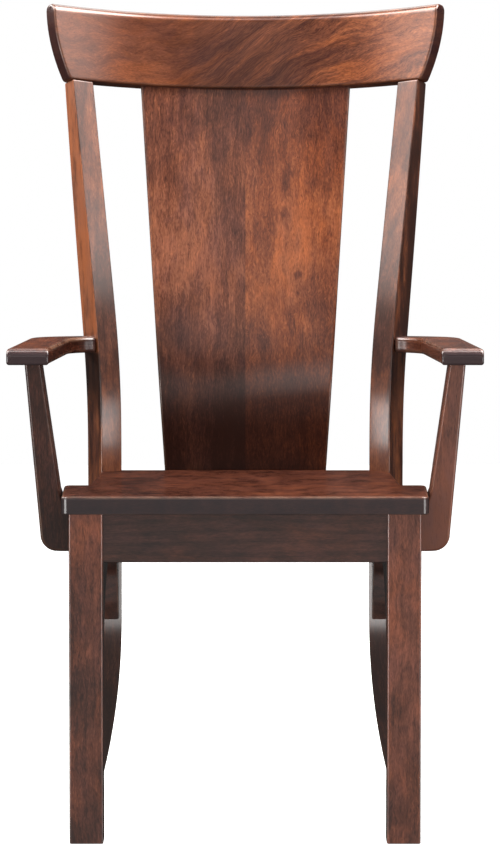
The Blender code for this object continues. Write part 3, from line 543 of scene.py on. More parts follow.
def crest_coat(g, spot):
    """The finish is thickest on the rounded top and toward both ends."""
    along, across, _ = g.split(spot)
    aside = g.math("ABSOLUTE", along)
    top = g.math("MULTIPLY", g.fit(across, CREST_HIGH - 18.0 * MM, CREST_HIGH - 9.0 * MM), g.fit(aside, 0.08, 0.20))
    return g.fit(g.math("MAXIMUM", top, g.fit(aside, 0.15, 0.25, 0.0, 0.5)), 0.0, 1.0, 0.5, 1.0)


def splat_painted_light_and_shade(g, spot):
    """Painted shade at the foot and under the crest rail, and painted light in a band across the middle."""
    height, _, _ = g.split(spot)
    foot = g.fit(height, 0.540, 0.685, -0.24, 0.0)
    rise = g.fit(height, 0.66, 0.76, 0.0, 0.12)
    head = g.fit(height, 0.80, 0.98, 0.0, -0.28)
    return g.math("ADD", foot, g.math("ADD", rise, head))


def mark_at(g, spot, height, across, tall, wide, strength):
    """One soft oval mark: a knot, a flame of darker wood, or a paler curl."""
    h, a, _ = g.split(spot)
    dh = g.math("DIVIDE", g.math("SUBTRACT", h, height), tall)
    da = g.math("DIVIDE", g.math("SUBTRACT", a, across), wide)
    lean = g.math("SUBTRACT", da, g.math("MULTIPLY", dh, 0.35))
    far = g.math("SQRT", g.math("ADD", g.math("MULTIPLY", dh, dh), g.math("MULTIPLY", lean, lean)))
    return g.fit(far, 0.25, 1.0, strength, 0.0)


def splat_figure_and_painted_shade_right(g, spot):
    """Painted light and shade as on the other board, darker still toward the top, with a flame of dark wood, a small
    knot below it and some curls.
    """
    total = g.math("ADD", splat_painted_light_and_shade(g, spot), g.fit(g.split(spot)[0], 0.82, 0.96, 0.0, -0.09))
    for height, across, tall, wide, strength in ((0.874, 0.058, 0.034, 0.012, -0.27), (0.828, 0.055, 0.013, 0.006, -0.26),
                                                 (0.740, 0.074, 0.009, 0.008, -0.34), (0.885, 0.081, 0.026, 0.004, 0.15),
                                                 (0.790, 0.045, 0.040, 0.004, 0.13)):
        total = g.math("ADD", total, mark_at(g, spot, height, across, tall, wide, strength))
    return total


def splat_figure_and_painted_shade_left(g, spot):
    """Painted light and shade as on the other board, and darker along the glue line and the lower outer edge."""
    height, across, _ = g.split(spot)
    seam = g.math("MULTIPLY", g.fit(across, -0.058, -0.030, 0.0, -0.16), g.fit(height, 1.00, 0.84))
    rim = g.math("MULTIPLY", g.fit(across, -0.125, -0.075, -0.16, 0.0), g.fit(height, 0.78, 0.68))
    total = g.math("ADD", splat_painted_light_and_shade(g, spot), g.math("ADD", seam, rim))
    for height, across, tall, wide, strength in ((0.866, -0.045, 0.020, 0.0035, 0.20), (0.832, -0.084, 0.026, 0.004, 0.16),
                                                 (0.832, -0.055, 0.018, 0.004, 0.15), (0.930, -0.060, 0.030, 0.006, 0.10)):
        total = g.math("ADD", total, mark_at(g, spot, height, across, tall, wide, strength))
    return total


def splat_coat(g, spot):
    """The foot of the splat is dull: little finish reaches the corner above the seat."""
    height, _, _ = g.split(spot)
    return g.math("MULTIPLY", g.fit(height, 0.525, 0.620, 0.14, 1.0), g.fit(height, 0.66, 0.72, 1.0, 0.80))


# painted shade at the foot of the splat, where it meets the seat
def splat_painted_foot_shade(g, spot):
    height, _, _ = g.split(spot)
    return g.fit(height, 0.520, 0.665, 0.60, 0.0)


# painted shade on the posts below the seat; the cloud on the outer sides is random tone of the wood
def post_painted_shade_and_cloud(g, spot):
    height, across, _ = g.split(spot)
    outer = g.fit(g.math("ABSOLUTE", across), POST_WIDE - 3.0 * MM, POST_WIDE - 0.5 * MM)
    cloud = g.noise(g.vector("MULTIPLY", spot, (11.0, 40.0, 62.0)), 3.0, 0.55, 0.3)
    cloud = g.math("MULTIPLY", g.fit(cloud, 0.34, 0.66, -0.34, 0.15), outer)
    return g.math("ADD", g.fit(height, 0.36, 0.46, -0.30, 0.0), cloud)


def post_painted_arm_shadow(g, spot):
    """Painted shadow of the arms on the posts' outer sides, strongest on the left post."""
    height, across, _ = g.split(spot)
    outer = g.fit(g.math("ABSOLUTE", across), POST_WIDE - 2.5 * MM, POST_WIDE - 0.5 * MM)
    under = g.math("MULTIPLY", g.fit(height, 0.629, 0.636, 1.0, 0.0), g.fit(height, 0.522, 0.592))
    return g.math("MULTIPLY", g.math("MULTIPLY", outer, under), g.fit(across, -0.004, 0.004, 0.88, 0.28))


def post_coat(g, spot):
    """The upper posts are a little duller than the bends, and so is the wood under the arms, where the arms' shadow is
    painted.
    """
    height, across, _ = g.split(spot)
    dull = g.math("SUBTRACT", 1.0, g.fit(across, -0.004, 0.004, 0.64, 0.84))
    kept = g.math("SUBTRACT", 1.0, g.math("MULTIPLY", g.fit(height, 0.76, 0.90), dull))
    return g.math("MULTIPLY", kept, g.math("MULTIPLY_ADD", post_painted_arm_shadow(g, spot), -0.60, 1.0))


def seat_painted_shade_and_light(g, spot):
    """Painted shade and light: the left half of the seat is the darker one, and the right end a little lighter."""
    along, _, _ = g.split(spot)
    return g.math("ADD", g.fit(along, -0.20, 0.02, -0.13, 0.0), g.fit(along, 0.06, 0.20, 0.0, 0.05))


def stay_painted_light(g, spot):
    """Painted light: the right support is paler toward its foot."""
    height, across, _ = g.split(spot)
    return g.math("MULTIPLY", g.fit(height, 0.54, 0.42, 0.0, 0.32), g.fit(across, -0.1, 0.1))


def stay_coat(g, spot):
    """The right support faces more light and keeps more of its gloss."""
    _, across, _ = g.split(spot)
    return g.fit(across, -0.1, 0.1, 0.55, 1.0)


# painted light and shade: the legs darker low down and lighter above, the left leg darker and the right lighter near
# the floor
def leg_painted_light_and_shade(g, spot):
    height, across, _ = g.split(spot)
    below = g.math("MULTIPLY", g.fit(across, -0.1, 0.1, -0.09, 0.07), g.fit(height, 0.30, 0.40, 1.0, 0.0))
    return g.math("ADD", g.fit(height, 0.16, 0.38, -0.04, 0.15), below)


CREST_WOOD = wood("crest_wood", (0.060, 0.0195, 0.012), (0.113, 0.036, 0.018), (0.226, 0.072, 0.030), blotch=0.30, patches=0.16,
                  streak=0.62, fine=0.60, rings=0.08, ring_size=0.012, figure=crest_figure, stain_and_painted_light=crest_painted_shade_and_light, blotch_scale=(7.0, 30.0),
                  cut_dark=0.74, coat=1.0, coat_rough=0.22, spec=0.0, coat_of=crest_coat)
SPLAT_WOOD_LEFT = wood("splat_wood_left", (0.074, 0.0235, 0.0145), (0.140, 0.0455, 0.0245), (0.258, 0.088, 0.044), blotch=0.28, patches=0.11, streak=0.74, fleck=0.20, ripple=0.004,
                       coat=0.8, rings=0.05, ring_size=0.012, warm=0.35, cool=0.70, stain_and_painted_light=splat_figure_and_painted_shade_left, coat_of=splat_coat, painted_shade=splat_painted_foot_shade,
                       spec=0.1)
SPLAT_WOOD_RIGHT = wood("splat_wood_right", (0.086, 0.0235, 0.012), (0.164, 0.0455, 0.0185), (0.290, 0.087, 0.032), blotch=0.24, patches=0.11, streak=0.74, fleck=0.20, ripple=0.006,
                        coat=1.0, rings=0.06, ring_size=0.012, pith=(0.03, -0.06), warm=0.55, cool=0.50, stain_and_painted_light=splat_figure_and_painted_shade_right,
                        coat_of=splat_coat, painted_shade=splat_painted_foot_shade, spec=0.1)
POST_WOOD = wood("post_wood", (0.066, 0.021, 0.012), (0.138, 0.044, 0.021), (0.250, 0.083, 0.036), blotch=0.26, patches=0.20, streak=0.50, sheen=0.25, wander=0.006,
                 wear=0.08, coat=0.78, coat_rough=0.13, stain_and_painted_light=post_painted_shade_and_cloud, coat_of=post_coat, painted_shade=post_painted_arm_shadow)
SEAT_WOOD = wood("seat_wood", (0.038, 0.0125, 0.0085), (0.078, 0.0245, 0.0148), (0.160, 0.052, 0.029), blotch=0.22, patches=0.22, streak=0.42, blotch_scale=(17.0, 10.0),
                 rings=0.06, sheen=0.12, coat=0.26, cut_coat=0.93, cut_dark=0.82, warm=0.30, cool=0.40, stain_and_painted_light=seat_painted_shade_and_light, spec=0.0)
APRON_WOOD = wood("apron_wood", (0.032, 0.012, 0.008), (0.060, 0.021, 0.0145), (0.110, 0.038, 0.025), streak=0.5, fine=0.5, rings=0.12, ring_size=0.014, sheen=0.2)
LEG_WOOD = wood("leg_wood", (0.063, 0.020, 0.012), (0.137, 0.043, 0.025), (0.260, 0.082, 0.046), blotch=0.34, patches=0.18, streak=0.66, sheen=0.25, ripple=0.004,
                stain_and_painted_light=leg_painted_light_and_shade)
# The arms are lit and shaded copies of one finish: colour and gloss are set apart to follow the light on each side,
# and arm() lightens the right one.
ARM_WOOD_LEFT = wood("arm_wood_left", (0.060, 0.017, 0.010), (0.122, 0.036, 0.018), (0.220, 0.067, 0.032), wear=0.5, sheen=0.15,
                     cut_dark=0.95, coat=0.52, cut_coat=0.74, spec=0.0)
ARM_WOOD_RIGHT = wood("arm_wood_right", (0.054, 0.016, 0.010), (0.110, 0.033, 0.018), (0.200, 0.062, 0.032), wear=0.5, sheen=0.15,
                      cut_dark=0.95, coat=0.90, cut_coat=0.77, spec=0.05)
STAY_WOOD = wood("stay_wood", (0.040, 0.013, 0.008), (0.080, 0.025, 0.0155), (0.150, 0.049, 0.028), wear=0.22, sheen=0.25,
                 coat=1.0, stain_and_painted_light=stay_painted_light, coat_of=stay_coat, bare=0.75)


def fastener_metal():
    g = Graph("zinc_steel")
    place = g.object_place()
    grit = g.noise(g.vector("MULTIPLY", place, (900.0, 900.0, 900.0)), 3.0, 0.6)
    cloud = g.noise(g.vector("MULTIPLY", place, (140.0, 140.0, 140.0)), 2.0, 0.5)
    g.put(g.shader.inputs["Base Color"], g.ramp(g.math("ADD", g.math("MULTIPLY", grit, 0.5), g.math("MULTIPLY", cloud, 0.5)),
                                                ((0.3, (0.33, 0.30, 0.22)), (0.55, (0.58, 0.55, 0.46)), (0.75, (0.70, 0.68, 0.62)))))
    g.shader.inputs["Metallic"].default_value = 1.0
    g.put(g.shader.inputs["Roughness"], g.fit(grit, 0.3, 0.7, 0.25, 0.5))
    g.put(g.shader.inputs["Normal"], g.bump(grit, 0.15, 0.0001))
    return g.material


def bare_wood(name, dark, light, stretch):
    g = Graph(name)
    place = g.vector("MULTIPLY", g.object_place(), stretch)
    fibre = g.noise(place, 4.0, 0.6, 0.3)
    cloud = g.noise(g.vector("MULTIPLY", place, (0.12, 0.12, 0.12)), 2.0, 0.5)
    value = g.math("ADD", g.math("MULTIPLY", fibre, 0.65), g.math("MULTIPLY", cloud, 0.35))
    g.put(g.shader.inputs["Base Color"], g.ramp(value, ((0.30, dark), (0.70, light))))
    g.put(g.shader.inputs["Roughness"], g.fit(fibre, 0.3, 0.7, 0.55, 0.8))
    g.put(g.shader.inputs["Normal"], g.bump(fibre, 0.3, 0.0003))
    return g.material


# ---- crest rail ----------------------------------------------------------------------------
def crest():
    low, high, high_back, end = 3.0 * MM, 12.5 * MM, 8.0 * MM, 3.0 * MM

    def face(inset, top):
        lo, hi = max(low - inset * 0.5, 0.6 * MM), max(top - inset * 0.5, 0.6 * MM)
        points = []
        for k in range(5):
            a = math.radians(90.0 * k / 4.0)
            points.append((inset + lo - lo * math.sin(a), inset + lo - lo * math.cos(a), 0.1 + 0.3 * math.sin(2 * a)))
        points.append((inset, inset + lo + 1.5 * MM, 0.0))
        for k in range(1, 12):
            points.append((inset, lerp(inset + lo + 1.5 * MM, CREST_HIGH - inset - hi - 1.5 * MM, k / 12.0), 0.0))
        points.append((inset, CREST_HIGH - inset - hi - 1.5 * MM, 0.0))
        for k in range(13):
            a = math.radians(90.0 * k / 12.0)
            points.append((inset + hi - hi * math.cos(a), CREST_HIGH - inset - hi + hi * math.sin(a), 0.03))
        return points

    inner = [-1.0 + 2.0 * k / 90.0 for k in range(1, 90)]
    rings = []

    def ring(t, pull, inset, worn, cut=0.0):
        both = face(inset, high) + [(CREST_THICK - d, v, w) for d, v, w in reversed(face(inset, high_back))]
        made = []
        for d, v, w in both:
            angle = t * crest_end(v)
            angle -= math.copysign(pull / CREST_RADIUS, t)
            co = crest_point(angle, d, v)
            sag = (CREST_RADIUS + d) * math.cos(angle) - CREST_RADIUS
            made.append((co, (angle * CREST_RADIUS, v, sag * 0.6), max(w, worn), cut))
        return made

    for k in range(5):
        a = math.radians(90.0 * k / 4.0)
        rings.append(ring(-1.0, end * (1.0 - math.cos(a)), end * (1.0 - math.sin(a)), 0.1 + 0.4 * math.sin(2 * a), 1.0 - k / 4.0))
    for t in inner:
        rings.append(ring(t, 0.0, 0.0, 0.0))
    for k in range(4, -1, -1):
        a = math.radians(90.0 * k / 4.0)
        rings.append(ring(1.0, end * (1.0 - math.cos(a)), end * (1.0 - math.sin(a)), 0.1 + 0.4 * math.sin(2 * a), 1.0 - k / 4.0))
    lofted("crest_rail_look", rings, CREST_WOOD, "crest_rail", strip=True)


crest()


# ---- splat ---------------------------------------------------------------------------------
def splat(label, side, material):
    rows, columns, soft = 110, 26, 4.0 * MM
    foot, gap = REAR_TOP + GAP, 0.0
    rings = []
    for k in range(rows + 1):
        f = k / rows
        profile = []
        for i in range(columns + 1):
            profile.append((i / columns, 0.0, 0.0))
        for i in range(1, 6):
            a = math.radians(90.0 * i / 5.0)
            profile.append((1.0, math.sin(a), 1.0 - math.cos(a)))
        front, back = [], []
        for share, out, drop in profile:
            nominal = share * SPLAT_HALF_TOP
            h = lerp(foot, splat_top(nominal, -GAP), f)
            half = splat_half(h)
            x = max(gap, share * (half - soft)) + soft * out
            y = splat_front(x, h)
            worn = 0.7 * math.sin(math.pi * min(1.0, drop)) if out else 0.0
            across = side * x
            front.append(((side * x, y + soft * drop, h), (h, across, soft * drop), worn))
            back.append(((side * x, y + SPLAT_THICK - soft * drop, h), (h, across, SPLAT_THICK - soft * drop), worn))
        rings.append(front + back[::-1])
    lofted("splat_look_" + label, rings, material, "splat_board_" + label, strip=True)


splat("left", -1.0, SPLAT_WOOD_LEFT)
splat("right", 1.0, SPLAT_WOOD_RIGHT)


# ---- back posts ----------------------------------------------------------------------------
def post(label, side):
    edge = 1.6 * MM
    # Painted light and shade: the outer side of the left post lighter above the arm and the right one darker, the
    # front faces darker near the top and in a band around arm height.
    side_painted_light_high, side_painted_light_low = (0.63, 0.08) if side < 0.0 else (-0.18, 0.06)

    def tone(u, h):
        side_painted_light = lerp(side_painted_light_low, side_painted_light_high, ease((h - 0.60) / 0.08))
        front_painted_shade = -0.03 - 0.13 * ease((h - 0.86) / 0.10) - lerp(0.28, 0.20, 0.5 + 0.5 * side) * ease((h - 0.567 - 0.013 * side) / 0.07) * ease((0.785 - h) / 0.05)
        return lerp(front_painted_shade, side_painted_light, ease((u - POST_WIDE + edge) / edge))

    heights = [0.0, 0.6 * MM, 1.5 * MM] + [lerp(4.0 * MM, 990.0 * MM, k / 110.0) for k in range(111)]
    rings = []
    for h in heights:
        inset = max(0.0, 1.5 * MM - h)
        deep = post_depth(h)
        ring = []
        for u, v, w in section(inset, POST_WIDE - inset, inset, deep - inset, edge, 4):
            x, y = post_point(side, u, post_sweep(h) + v)
            ring.append(((x, y, h), (h, u * side, v + 0.55 * post_sweep(h)), w, 0.0, tone(u, h)))
        rings.append(ring)
    for drop in (2.4 * MM, 0.8 * MM, 0.0):
        ring = []
        inset = 1.2 * MM * (1.0 - drop / (2.4 * MM)) ** 2
        for u, v, w in section(inset, POST_WIDE - inset, inset, post_depth(1010.0 * MM) - inset, edge - inset, 4):
            h = CREST_H
            for _ in range(12):
                x, y = post_point(side, u, post_sweep(h) + v)
                h = crest_plane(y) - GAP - drop
            ring.append(((x, y, h), (h, u * side, v + 0.55 * post_sweep(h)), max(w, 0.5 if drop < 2.0 * MM else 0.0),
                         0.0, tone(u, h)))
        rings.append(ring)
    lofted("back_post_look_" + label, rings, POST_WOOD, "back_post_" + label)


for label, side in SIDES:
    post(label, side)


# ---- seat ----------------------------------------------------------------------------------
def mirror_outline(half):
    return half + [(-x, y) for x, y in reversed(half)]


def seat_board(name, node, outline, round_corner, outer_edge, shift, tone=0.0):
    bm = prism_bm(outline, SEAT_TOP - SEAT_THICK, SEAT_TOP)
    soften(bm, lambda p, q: near(p.x, q.x) and near(p.y, q.y) and round_corner(p), SEAT_CORNER, 8, 0.0)
    soften(bm, lambda p, q: near(p.z, q.z) and outer_edge(p, q) and p.z > SEAT_TOP - 1e-6, SEAT_EDGE, 6, 0.8)
    soften(bm, lambda p, q: near(p.z, q.z) and outer_edge(p, q) and p.z < SEAT_TOP - SEAT_THICK + 1e-6, 1.5 * MM, 3, 0.6)
    carved(name, bm, lambda p: (p.x, p.y + shift, p.z - SEAT_TOP), SEAT_WOOD, node, tone,
           lambda p: ease((SEAT_TOP - p.z) / SEAT_EDGE))


HAIR = 0.03 * MM
seat_board("seat_look_front", "seat_board_front",
           mirror_outline([(SEAT_HALF_FRONT, 0.0), (SEAT_HALF_EAR, SEAT_FRONT_BOARD), (SEAT_HALF_STEP, SEAT_FRONT_BOARD),
                           (SEAT_HALF_STEP - 0.5 * MM, SEAT_FRONT_BOARD)]),
           lambda p: abs(p.x) > SEAT_HALF_STEP + 1e-4,
           lambda p, q: not (near(p.y, SEAT_FRONT_BOARD) and near(q.y, SEAT_FRONT_BOARD)
                             and max(abs(p.x), abs(q.x)) < SEAT_HALF_STEP + 1e-5), 0.0)
seat_board("seat_look_middle", "seat_board_middle",
           mirror_outline([(seat_side(SEAT_FRONT_BOARD), SEAT_FRONT_BOARD + HAIR), (seat_side(SEAT_MIDDLE_END), SEAT_MIDDLE_END)]),
           lambda p: False, lambda p, q: p.x * q.x > 0.0 and abs(p.y - q.y) > 1e-3, 0.31)
NOTCH = POST_X - 0.1 * MM
seat_board("seat_look_rear", "seat_board_rear",
           mirror_outline([(seat_side(SEAT_MIDDLE_END), SEAT_MIDDLE_END + HAIR),
                           (SEAT_HALF_REAR, post_front_line(SEAT_HALF_REAR, GAP)),
                           (NOTCH, post_front_line(NOTCH, GAP)),
                           (post_inner_line(SEAT_REAR, GAP) - 0.1 * MM, SEAT_REAR)]),
           lambda p: False,
           lambda p, q: p.x * q.x > 0.0 and p.y < 400.0 * MM and q.y < 400.0 * MM and abs(p.y - q.y) > 1e-3, 0.57)

# ---- legs, aprons, rails -------------------------------------------------------------------
for label, side in SIDES:
    a, b = side * LEG_INNER, side * (LEG_INNER + LEG)
    bm = prism_bm([(min(a, b), LEG_FRONT), (max(a, b), LEG_FRONT), (max(a, b), LEG_FRONT + LEG), (min(a, b), LEG_FRONT + LEG)],
                  0.0, RAIL_TOP)
    soften(bm, lambda p, q: near(p.x, q.x) and near(p.y, q.y), 2.6 * MM, 4)
    soften(bm, lambda p, q: near(p.z, q.z) and p.z < 1e-6, 1.6 * MM, 3)
    carved("front_leg_look_" + label, bm, lambda p: (p.z, p.x, p.y), LEG_WOOD, "front_leg_" + label)

half = LEG_INNER - GAP
bm = prism_bm([(-half, APRON_FRONT), (half, APRON_FRONT), (half, APRON_FRONT + APRON_THICK), (-half, APRON_FRONT + APRON_THICK)],
              RAIL_BOTTOM, RAIL_TOP)
soften(bm, lambda p, q: near(p.z, q.z) and p.z < RAIL_BOTTOM + 1e-6 and near(p.y, q.y) and not near(p.x, q.x), 2.0 * MM, 4)
carved("front_apron_look", bm, lambda p: (p.x, p.z, p.y), APRON_WOOD, "front_apron")

bm = prism_bm(mirror_outline([(post_inner_line(REAR_FRONT, GAP), REAR_FRONT), (post_inner_line(REAR_BACK, GAP), REAR_BACK)]),
              RAIL_BOTTOM, REAR_TOP)
soften(bm, lambda p, q: near(p.z, q.z) and near(p.y, q.y) and near(p.y, REAR_BACK), 2.0 * MM, 4)
carved("rear_apron_look", bm, lambda p: (p.x, p.z, p.y), APRON_WOOD, "rear_apron")


def rail(label, side):
    start = LEG_FRONT + LEG + GAP
    low = RAIL_BOTTOM - ARCH_RISE
    path = [(start, low), (start + 2.0 * MM, low)]
    for k in range(81):
        a = math.pi * k / 80.0
        path.append((ARCH_CENTRE - ARCH_HALF * math.cos(a), RAIL_BOTTOM - ARCH_RISE * (1.0 - math.sin(a))))
    path.append((None, low))
    rings = []
    for y, bottom in path:
        ring = []
        for u, v, w in section(0.0, SIDE_THICK, bottom, RAIL_TOP, 1.6 * MM, 3, 1.0 * MM):
            depth = y
            if y is None:
                depth = 405.0 * MM
                for _ in range(10):
                    depth = post_front_line(side_inner(depth) + u, GAP)
            ring.append(((side * (side_inner(depth) + u), depth, v), (depth, v, u), w))
        rings.append(ring)
    lofted("side_rail_look_" + label, rings, APRON_WOOD, "side_rail_" + label)


for label, side in SIDES:
    rail(label, side)


# ---- arms ----------------------------------------------------------------------------------
def arm(label, side):
    c, s = math.cos(POST_TOE), math.sin(POST_TOE)
    begin = post_sweep(ARM_TOP - ARM_THICK / 2.0) + 1.0 * MM
    inner_end = post_point(1.0, POST_WIDE + GAP, begin)
    outer_end = post_point(1.0, POST_WIDE + GAP, begin + ARM_END_WIDE)
    outer_bend = (OUTER_TURN, (OUTER_TURN[0] - 3.0 * MM, OUTER_TURN[1] + 58.0 * MM),
                  (outer_end[0] + 36.0 * MM * c, outer_end[1] - 36.0 * MM * s), outer_end)
    inner_bend = (INNER_TURN, (INNER_TURN[0] - 2.0 * MM, INNER_TURN[1] + 34.0 * MM),
                  (inner_end[0] + 24.0 * MM * c, inner_end[1] - 24.0 * MM * s), inner_end)
    pairs = []

    def quarter(radius, deep):
        return radius - math.sqrt(max(0.0, radius ** 2 - (radius - deep) ** 2)) if deep < radius else 0.0

    # front end: a full round along the top edge, smaller ones below and at the corners
    nose = 11.0 * MM
    for share in (0.0, 0.012, 0.045, 0.10, 0.175, 0.27, 0.38, 0.50, 0.64, 0.80, 1.0):
        deep = nose * share
        aside = quarter(3.0 * MM, deep)
        pairs.append(((ARM_OUTER_FRONT - aside, ARM_FRONT + deep), (ARM_INNER_FRONT + aside, ARM_FRONT + deep),
                      quarter(nose, deep), quarter(3.0 * MM, deep), lerp(3.0 * MM, ARM_EDGE, share),
                      0.0, 1.0 - ease(share / 0.8)))
    for k in range(1, 31):
        f = k / 30.0
        y0 = ARM_FRONT + nose
        pairs.append(((lerp(ARM_OUTER_FRONT, OUTER_TURN[0], f), lerp(y0, OUTER_TURN[1], f)),
                      (lerp(ARM_INNER_FRONT, INNER_TURN[0], f), lerp(y0, INNER_TURN[1], f)), 0.0, 0.0, ARM_EDGE, 0.0, 0.0))
    for k in range(1, 41):
        f = k / 40.0
        pairs.append((curve(outer_bend, f), curve(inner_bend, f), 0.0, 0.0, ARM_EDGE, 0.0, 0.75 * ease((f - 0.62) / 0.22)))
    # the end at the post is rounded at its front corner and eased all round, so a shadow line is left at the joint
    front_round, soft = 9.0 * MM, 2.5 * MM
    (ox, oy), (ix, iy) = pairs[-1][0], pairs[-1][1]
    wide = math.hypot(ox - ix, oy - iy)
    ux, uy = (ox - ix) / wide, (oy - iy) / wide
    while (pairs[-1][1][0] - ix) * c - (pairs[-1][1][1] - iy) * s < front_round + 0.5 * MM:
        pairs.pop()
    # these rings carry a pale worn colour, partly a painted highlight on the rounded end
    for k in range(11):
        a = math.radians(90.0 * k / 10.0)
        back_off = front_round * (1.0 - math.sin(a))
        turn_in = front_round * (1.0 - math.cos(a))
        near_end = max(0.0, 1.0 - back_off / soft)
        ease_off = soft * (1.0 - math.sqrt(1.0 - near_end * near_end))
        pairs.append(((ox - ux * ease_off + c * back_off, oy - uy * ease_off - s * back_off),
                      (ix + ux * turn_in + c * back_off, iy + uy * turn_in - s * back_off), ease_off, ease_off,
                      ARM_EDGE - 0.5 * ease_off, 0.50, 0.75))
    rings, run, last = [], 0.0, None
    for (ox, oy), (ix, iy), above, below, soft_edge, worn, cut in pairs:
        middle = ((ox + ix) / 2.0, (oy + iy) / 2.0)
        if last:
            run += math.hypot(middle[0] - last[0], middle[1] - last[1])
        last = middle
        wide = math.hypot(ox - ix, oy - iy)
        ring = []
        for u, v, w in section(0.0, wide, below, ARM_THICK - above, soft_edge, 5):
            f = u / wide
            # the last value is painted shade: the inner side darker toward its face, much more on the left arm
            ring.append(((side * lerp(ix, ox, f), lerp(iy, oy, f), ARM_TOP - ARM_THICK + v), (run, u * side, v),
                         max(w * (1.0 - 0.92 * cut), worn), cut, (0.09 * side - 0.17) * (1.0 - ease(u / (5.0 * MM)))))
        rings.append(ring)
    # painted light: the right arm's tone is set lighter than the left's
    lofted("arm_look_" + label, rings, ARM_WOOD_LEFT if side < 0.0 else ARM_WOOD_RIGHT, "arm_" + label,
           tone=0.05 + 0.13 * side)


def stay(label, side):
    notch = SEAT_HALF_EAR + 0.3 * MM
    inner = SIDE_OUTER_FRONT - 35.0 * MM * SIDE_TAPER + 0.4 * MM
    ledge = SEAT_TOP - SEAT_THICK - 0.3 * MM
    outline = [(294.6 * MM, STAY_TOP), (272.6 * MM, STAY_TOP), (248.4 * MM, SEAT_TOP), (notch, SEAT_TOP - 6.0 * MM),
               (notch, ledge), (inner, ledge), (inner, STAY_BOTTOM)]
    foot_x, foot_h = 274.3 * MM - STAY_FOOT_RADIUS, STAY_BOTTOM + STAY_FOOT_RADIUS
    for k in range(13):
        a = math.radians(-90.0 + 90.0 * k / 12.0)
        outline.append((foot_x + STAY_FOOT_RADIUS * math.cos(a), foot_h + STAY_FOOT_RADIUS * math.sin(a)))
    bm = prism_bm([(side * x, h) for x, h in outline], STAY_FRONT, STAY_BACK, along="y")
    soften(bm, lambda p, q: near(p.y, q.y) and min(abs(p.x), abs(q.x)) > notch - 1e-5
           and not (near(p.z, STAY_TOP) and near(q.z, STAY_TOP))
           and not (near(abs(p.x), notch) and near(abs(q.x), notch)), 4.0 * MM, 5, 0.9)
    # painted light: the right support's tone is set lighter than the left's
    carved("arm_support_look_" + label, bm, lambda p: (p.z, p.x, p.y), STAY_WOOD, "arm_support_" + label, tone=0.04 + 0.30 * side)


for label, side in SIDES:
    arm(label, side)
    stay(label, side)

# ---- plugs over the arm screws, a little proud of the posts ----------------------------------
def plug(label, side):
    middle = ARM_TOP - ARM_THICK / 2.0
    along, radius, rings = post_sweep(middle) + 21.5 * MM, 5.2 * MM, []
    for share, across in ((0.40, -0.62), (0.68, -0.55), (0.86, -0.42), (0.96, -0.22), (1.0, 0.05), (1.0, 5.5)):
        ring = []
        for k in range(32):
            a = 2.0 * math.pi * k / 32.0
            u, v = radius * share * math.cos(a), radius * share * math.sin(a)
            x, y = post_point(side, across * MM, along + u)
            ring.append(((x, y, middle + v), (v, u, across * MM), 0.6 * (1.0 if 0.9 < share < 1.0 else 0.0)))
        rings.append(ring)
    lofted("arm_screw_plug_look_" + label, rings, POST_WOOD, "arm_screw_plug_" + label, tone=-0.12 + 0.30)


for label, side in SIDES:
    plug(label, side)

# ---- nodes shown as the CAD made them ------------------------------------------------------
STEEL = fastener_metal()
BLOCK = bare_wood("block_wood", (0.16, 0.085, 0.045), (0.36, 0.22, 0.12), (260.0, 260.0, 40.0))
DOWEL = bare_wood("dowel_wood", (0.36, 0.23, 0.12), (0.60, 0.43, 0.25), (400.0, 400.0, 40.0))
for name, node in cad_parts.items():
    for part, material in (("screw", STEEL), ("dowel", DOWEL), ("corner_block", BLOCK)):
        if part in name:
            node.data.materials.clear()
            node.data.materials.append(material)
            break

# ---- studio --------------------------------------------------------------------------------
def flat(name, colour, rough, glow=0.0):
    g = Graph(name)
    g.shader.inputs["Base Color"].default_value = (*colour, 1.0)
    g.shader.inputs["Roughness"].default_value = rough
    g.shader.inputs["Emission Color"].default_value = (1.0, 1.0, 1.0, 1.0)
    g.shader.inputs["Emission Strength"].default_value = glow
    return g.material


mesh = bpy.data.meshes.new("floor")
mesh.from_pydata([(-6, -6, -0.0005), (6, -6, -0.0005), (6, 6, -0.0005), (-6, 6, -0.0005)], [], [(0, 1, 2, 3)])
mesh.materials.append(flat("floor_paper", (0.85, 0.85, 0.85), 0.8, 0.97))
floor = bpy.data.objects.new("floor", mesh)
bpy.context.scene.collection.objects.link(floor)
floor.visible_diffuse = False
floor.visible_glossy = False

# The room as the wood sees it: dim above, a pale floor in front, paler to the sides
ROOM_UP, ROOM_FLOOR_FRONT, ROOM_FLOOR_SIDE, ROOM_FLOOR_BACK, ROOM_PANEL = 0.03, 0.52, 0.40, 0.03, 7.6
ROOM_HAZE, ROOM_BEHIND = 2.0, 0.05
world = bpy.data.worlds.new("studio")
bpy.context.scene.world = world
world.use_nodes = True
world.node_tree.nodes.clear()
g = Graph("studio", world.node_tree)
east, north, up = g.split(world.node_tree.nodes.new("ShaderNodeTexCoord").outputs["Generated"])
reach = g.math("SQRT", g.math("ADD", g.math("MULTIPLY", east, east), g.math("MULTIPLY", north, north)))
ahead = g.math("DIVIDE", g.math("MULTIPLY", north, -1.0), g.math("MAXIMUM", reach, 0.001))
low = g.fit(g.math("MULTIPLY", up, -1.0), -0.01, 0.03)
in_front, behind = g.fit(ahead, 0.80, 0.95), g.fit(g.math("MULTIPLY", ahead, -1.0), 0.2, 0.6)
beside = g.math("SUBTRACT", g.math("SUBTRACT", 1.0, in_front), behind)
total = g.math("MULTIPLY", g.math("SUBTRACT", 1.0, low), ROOM_UP)
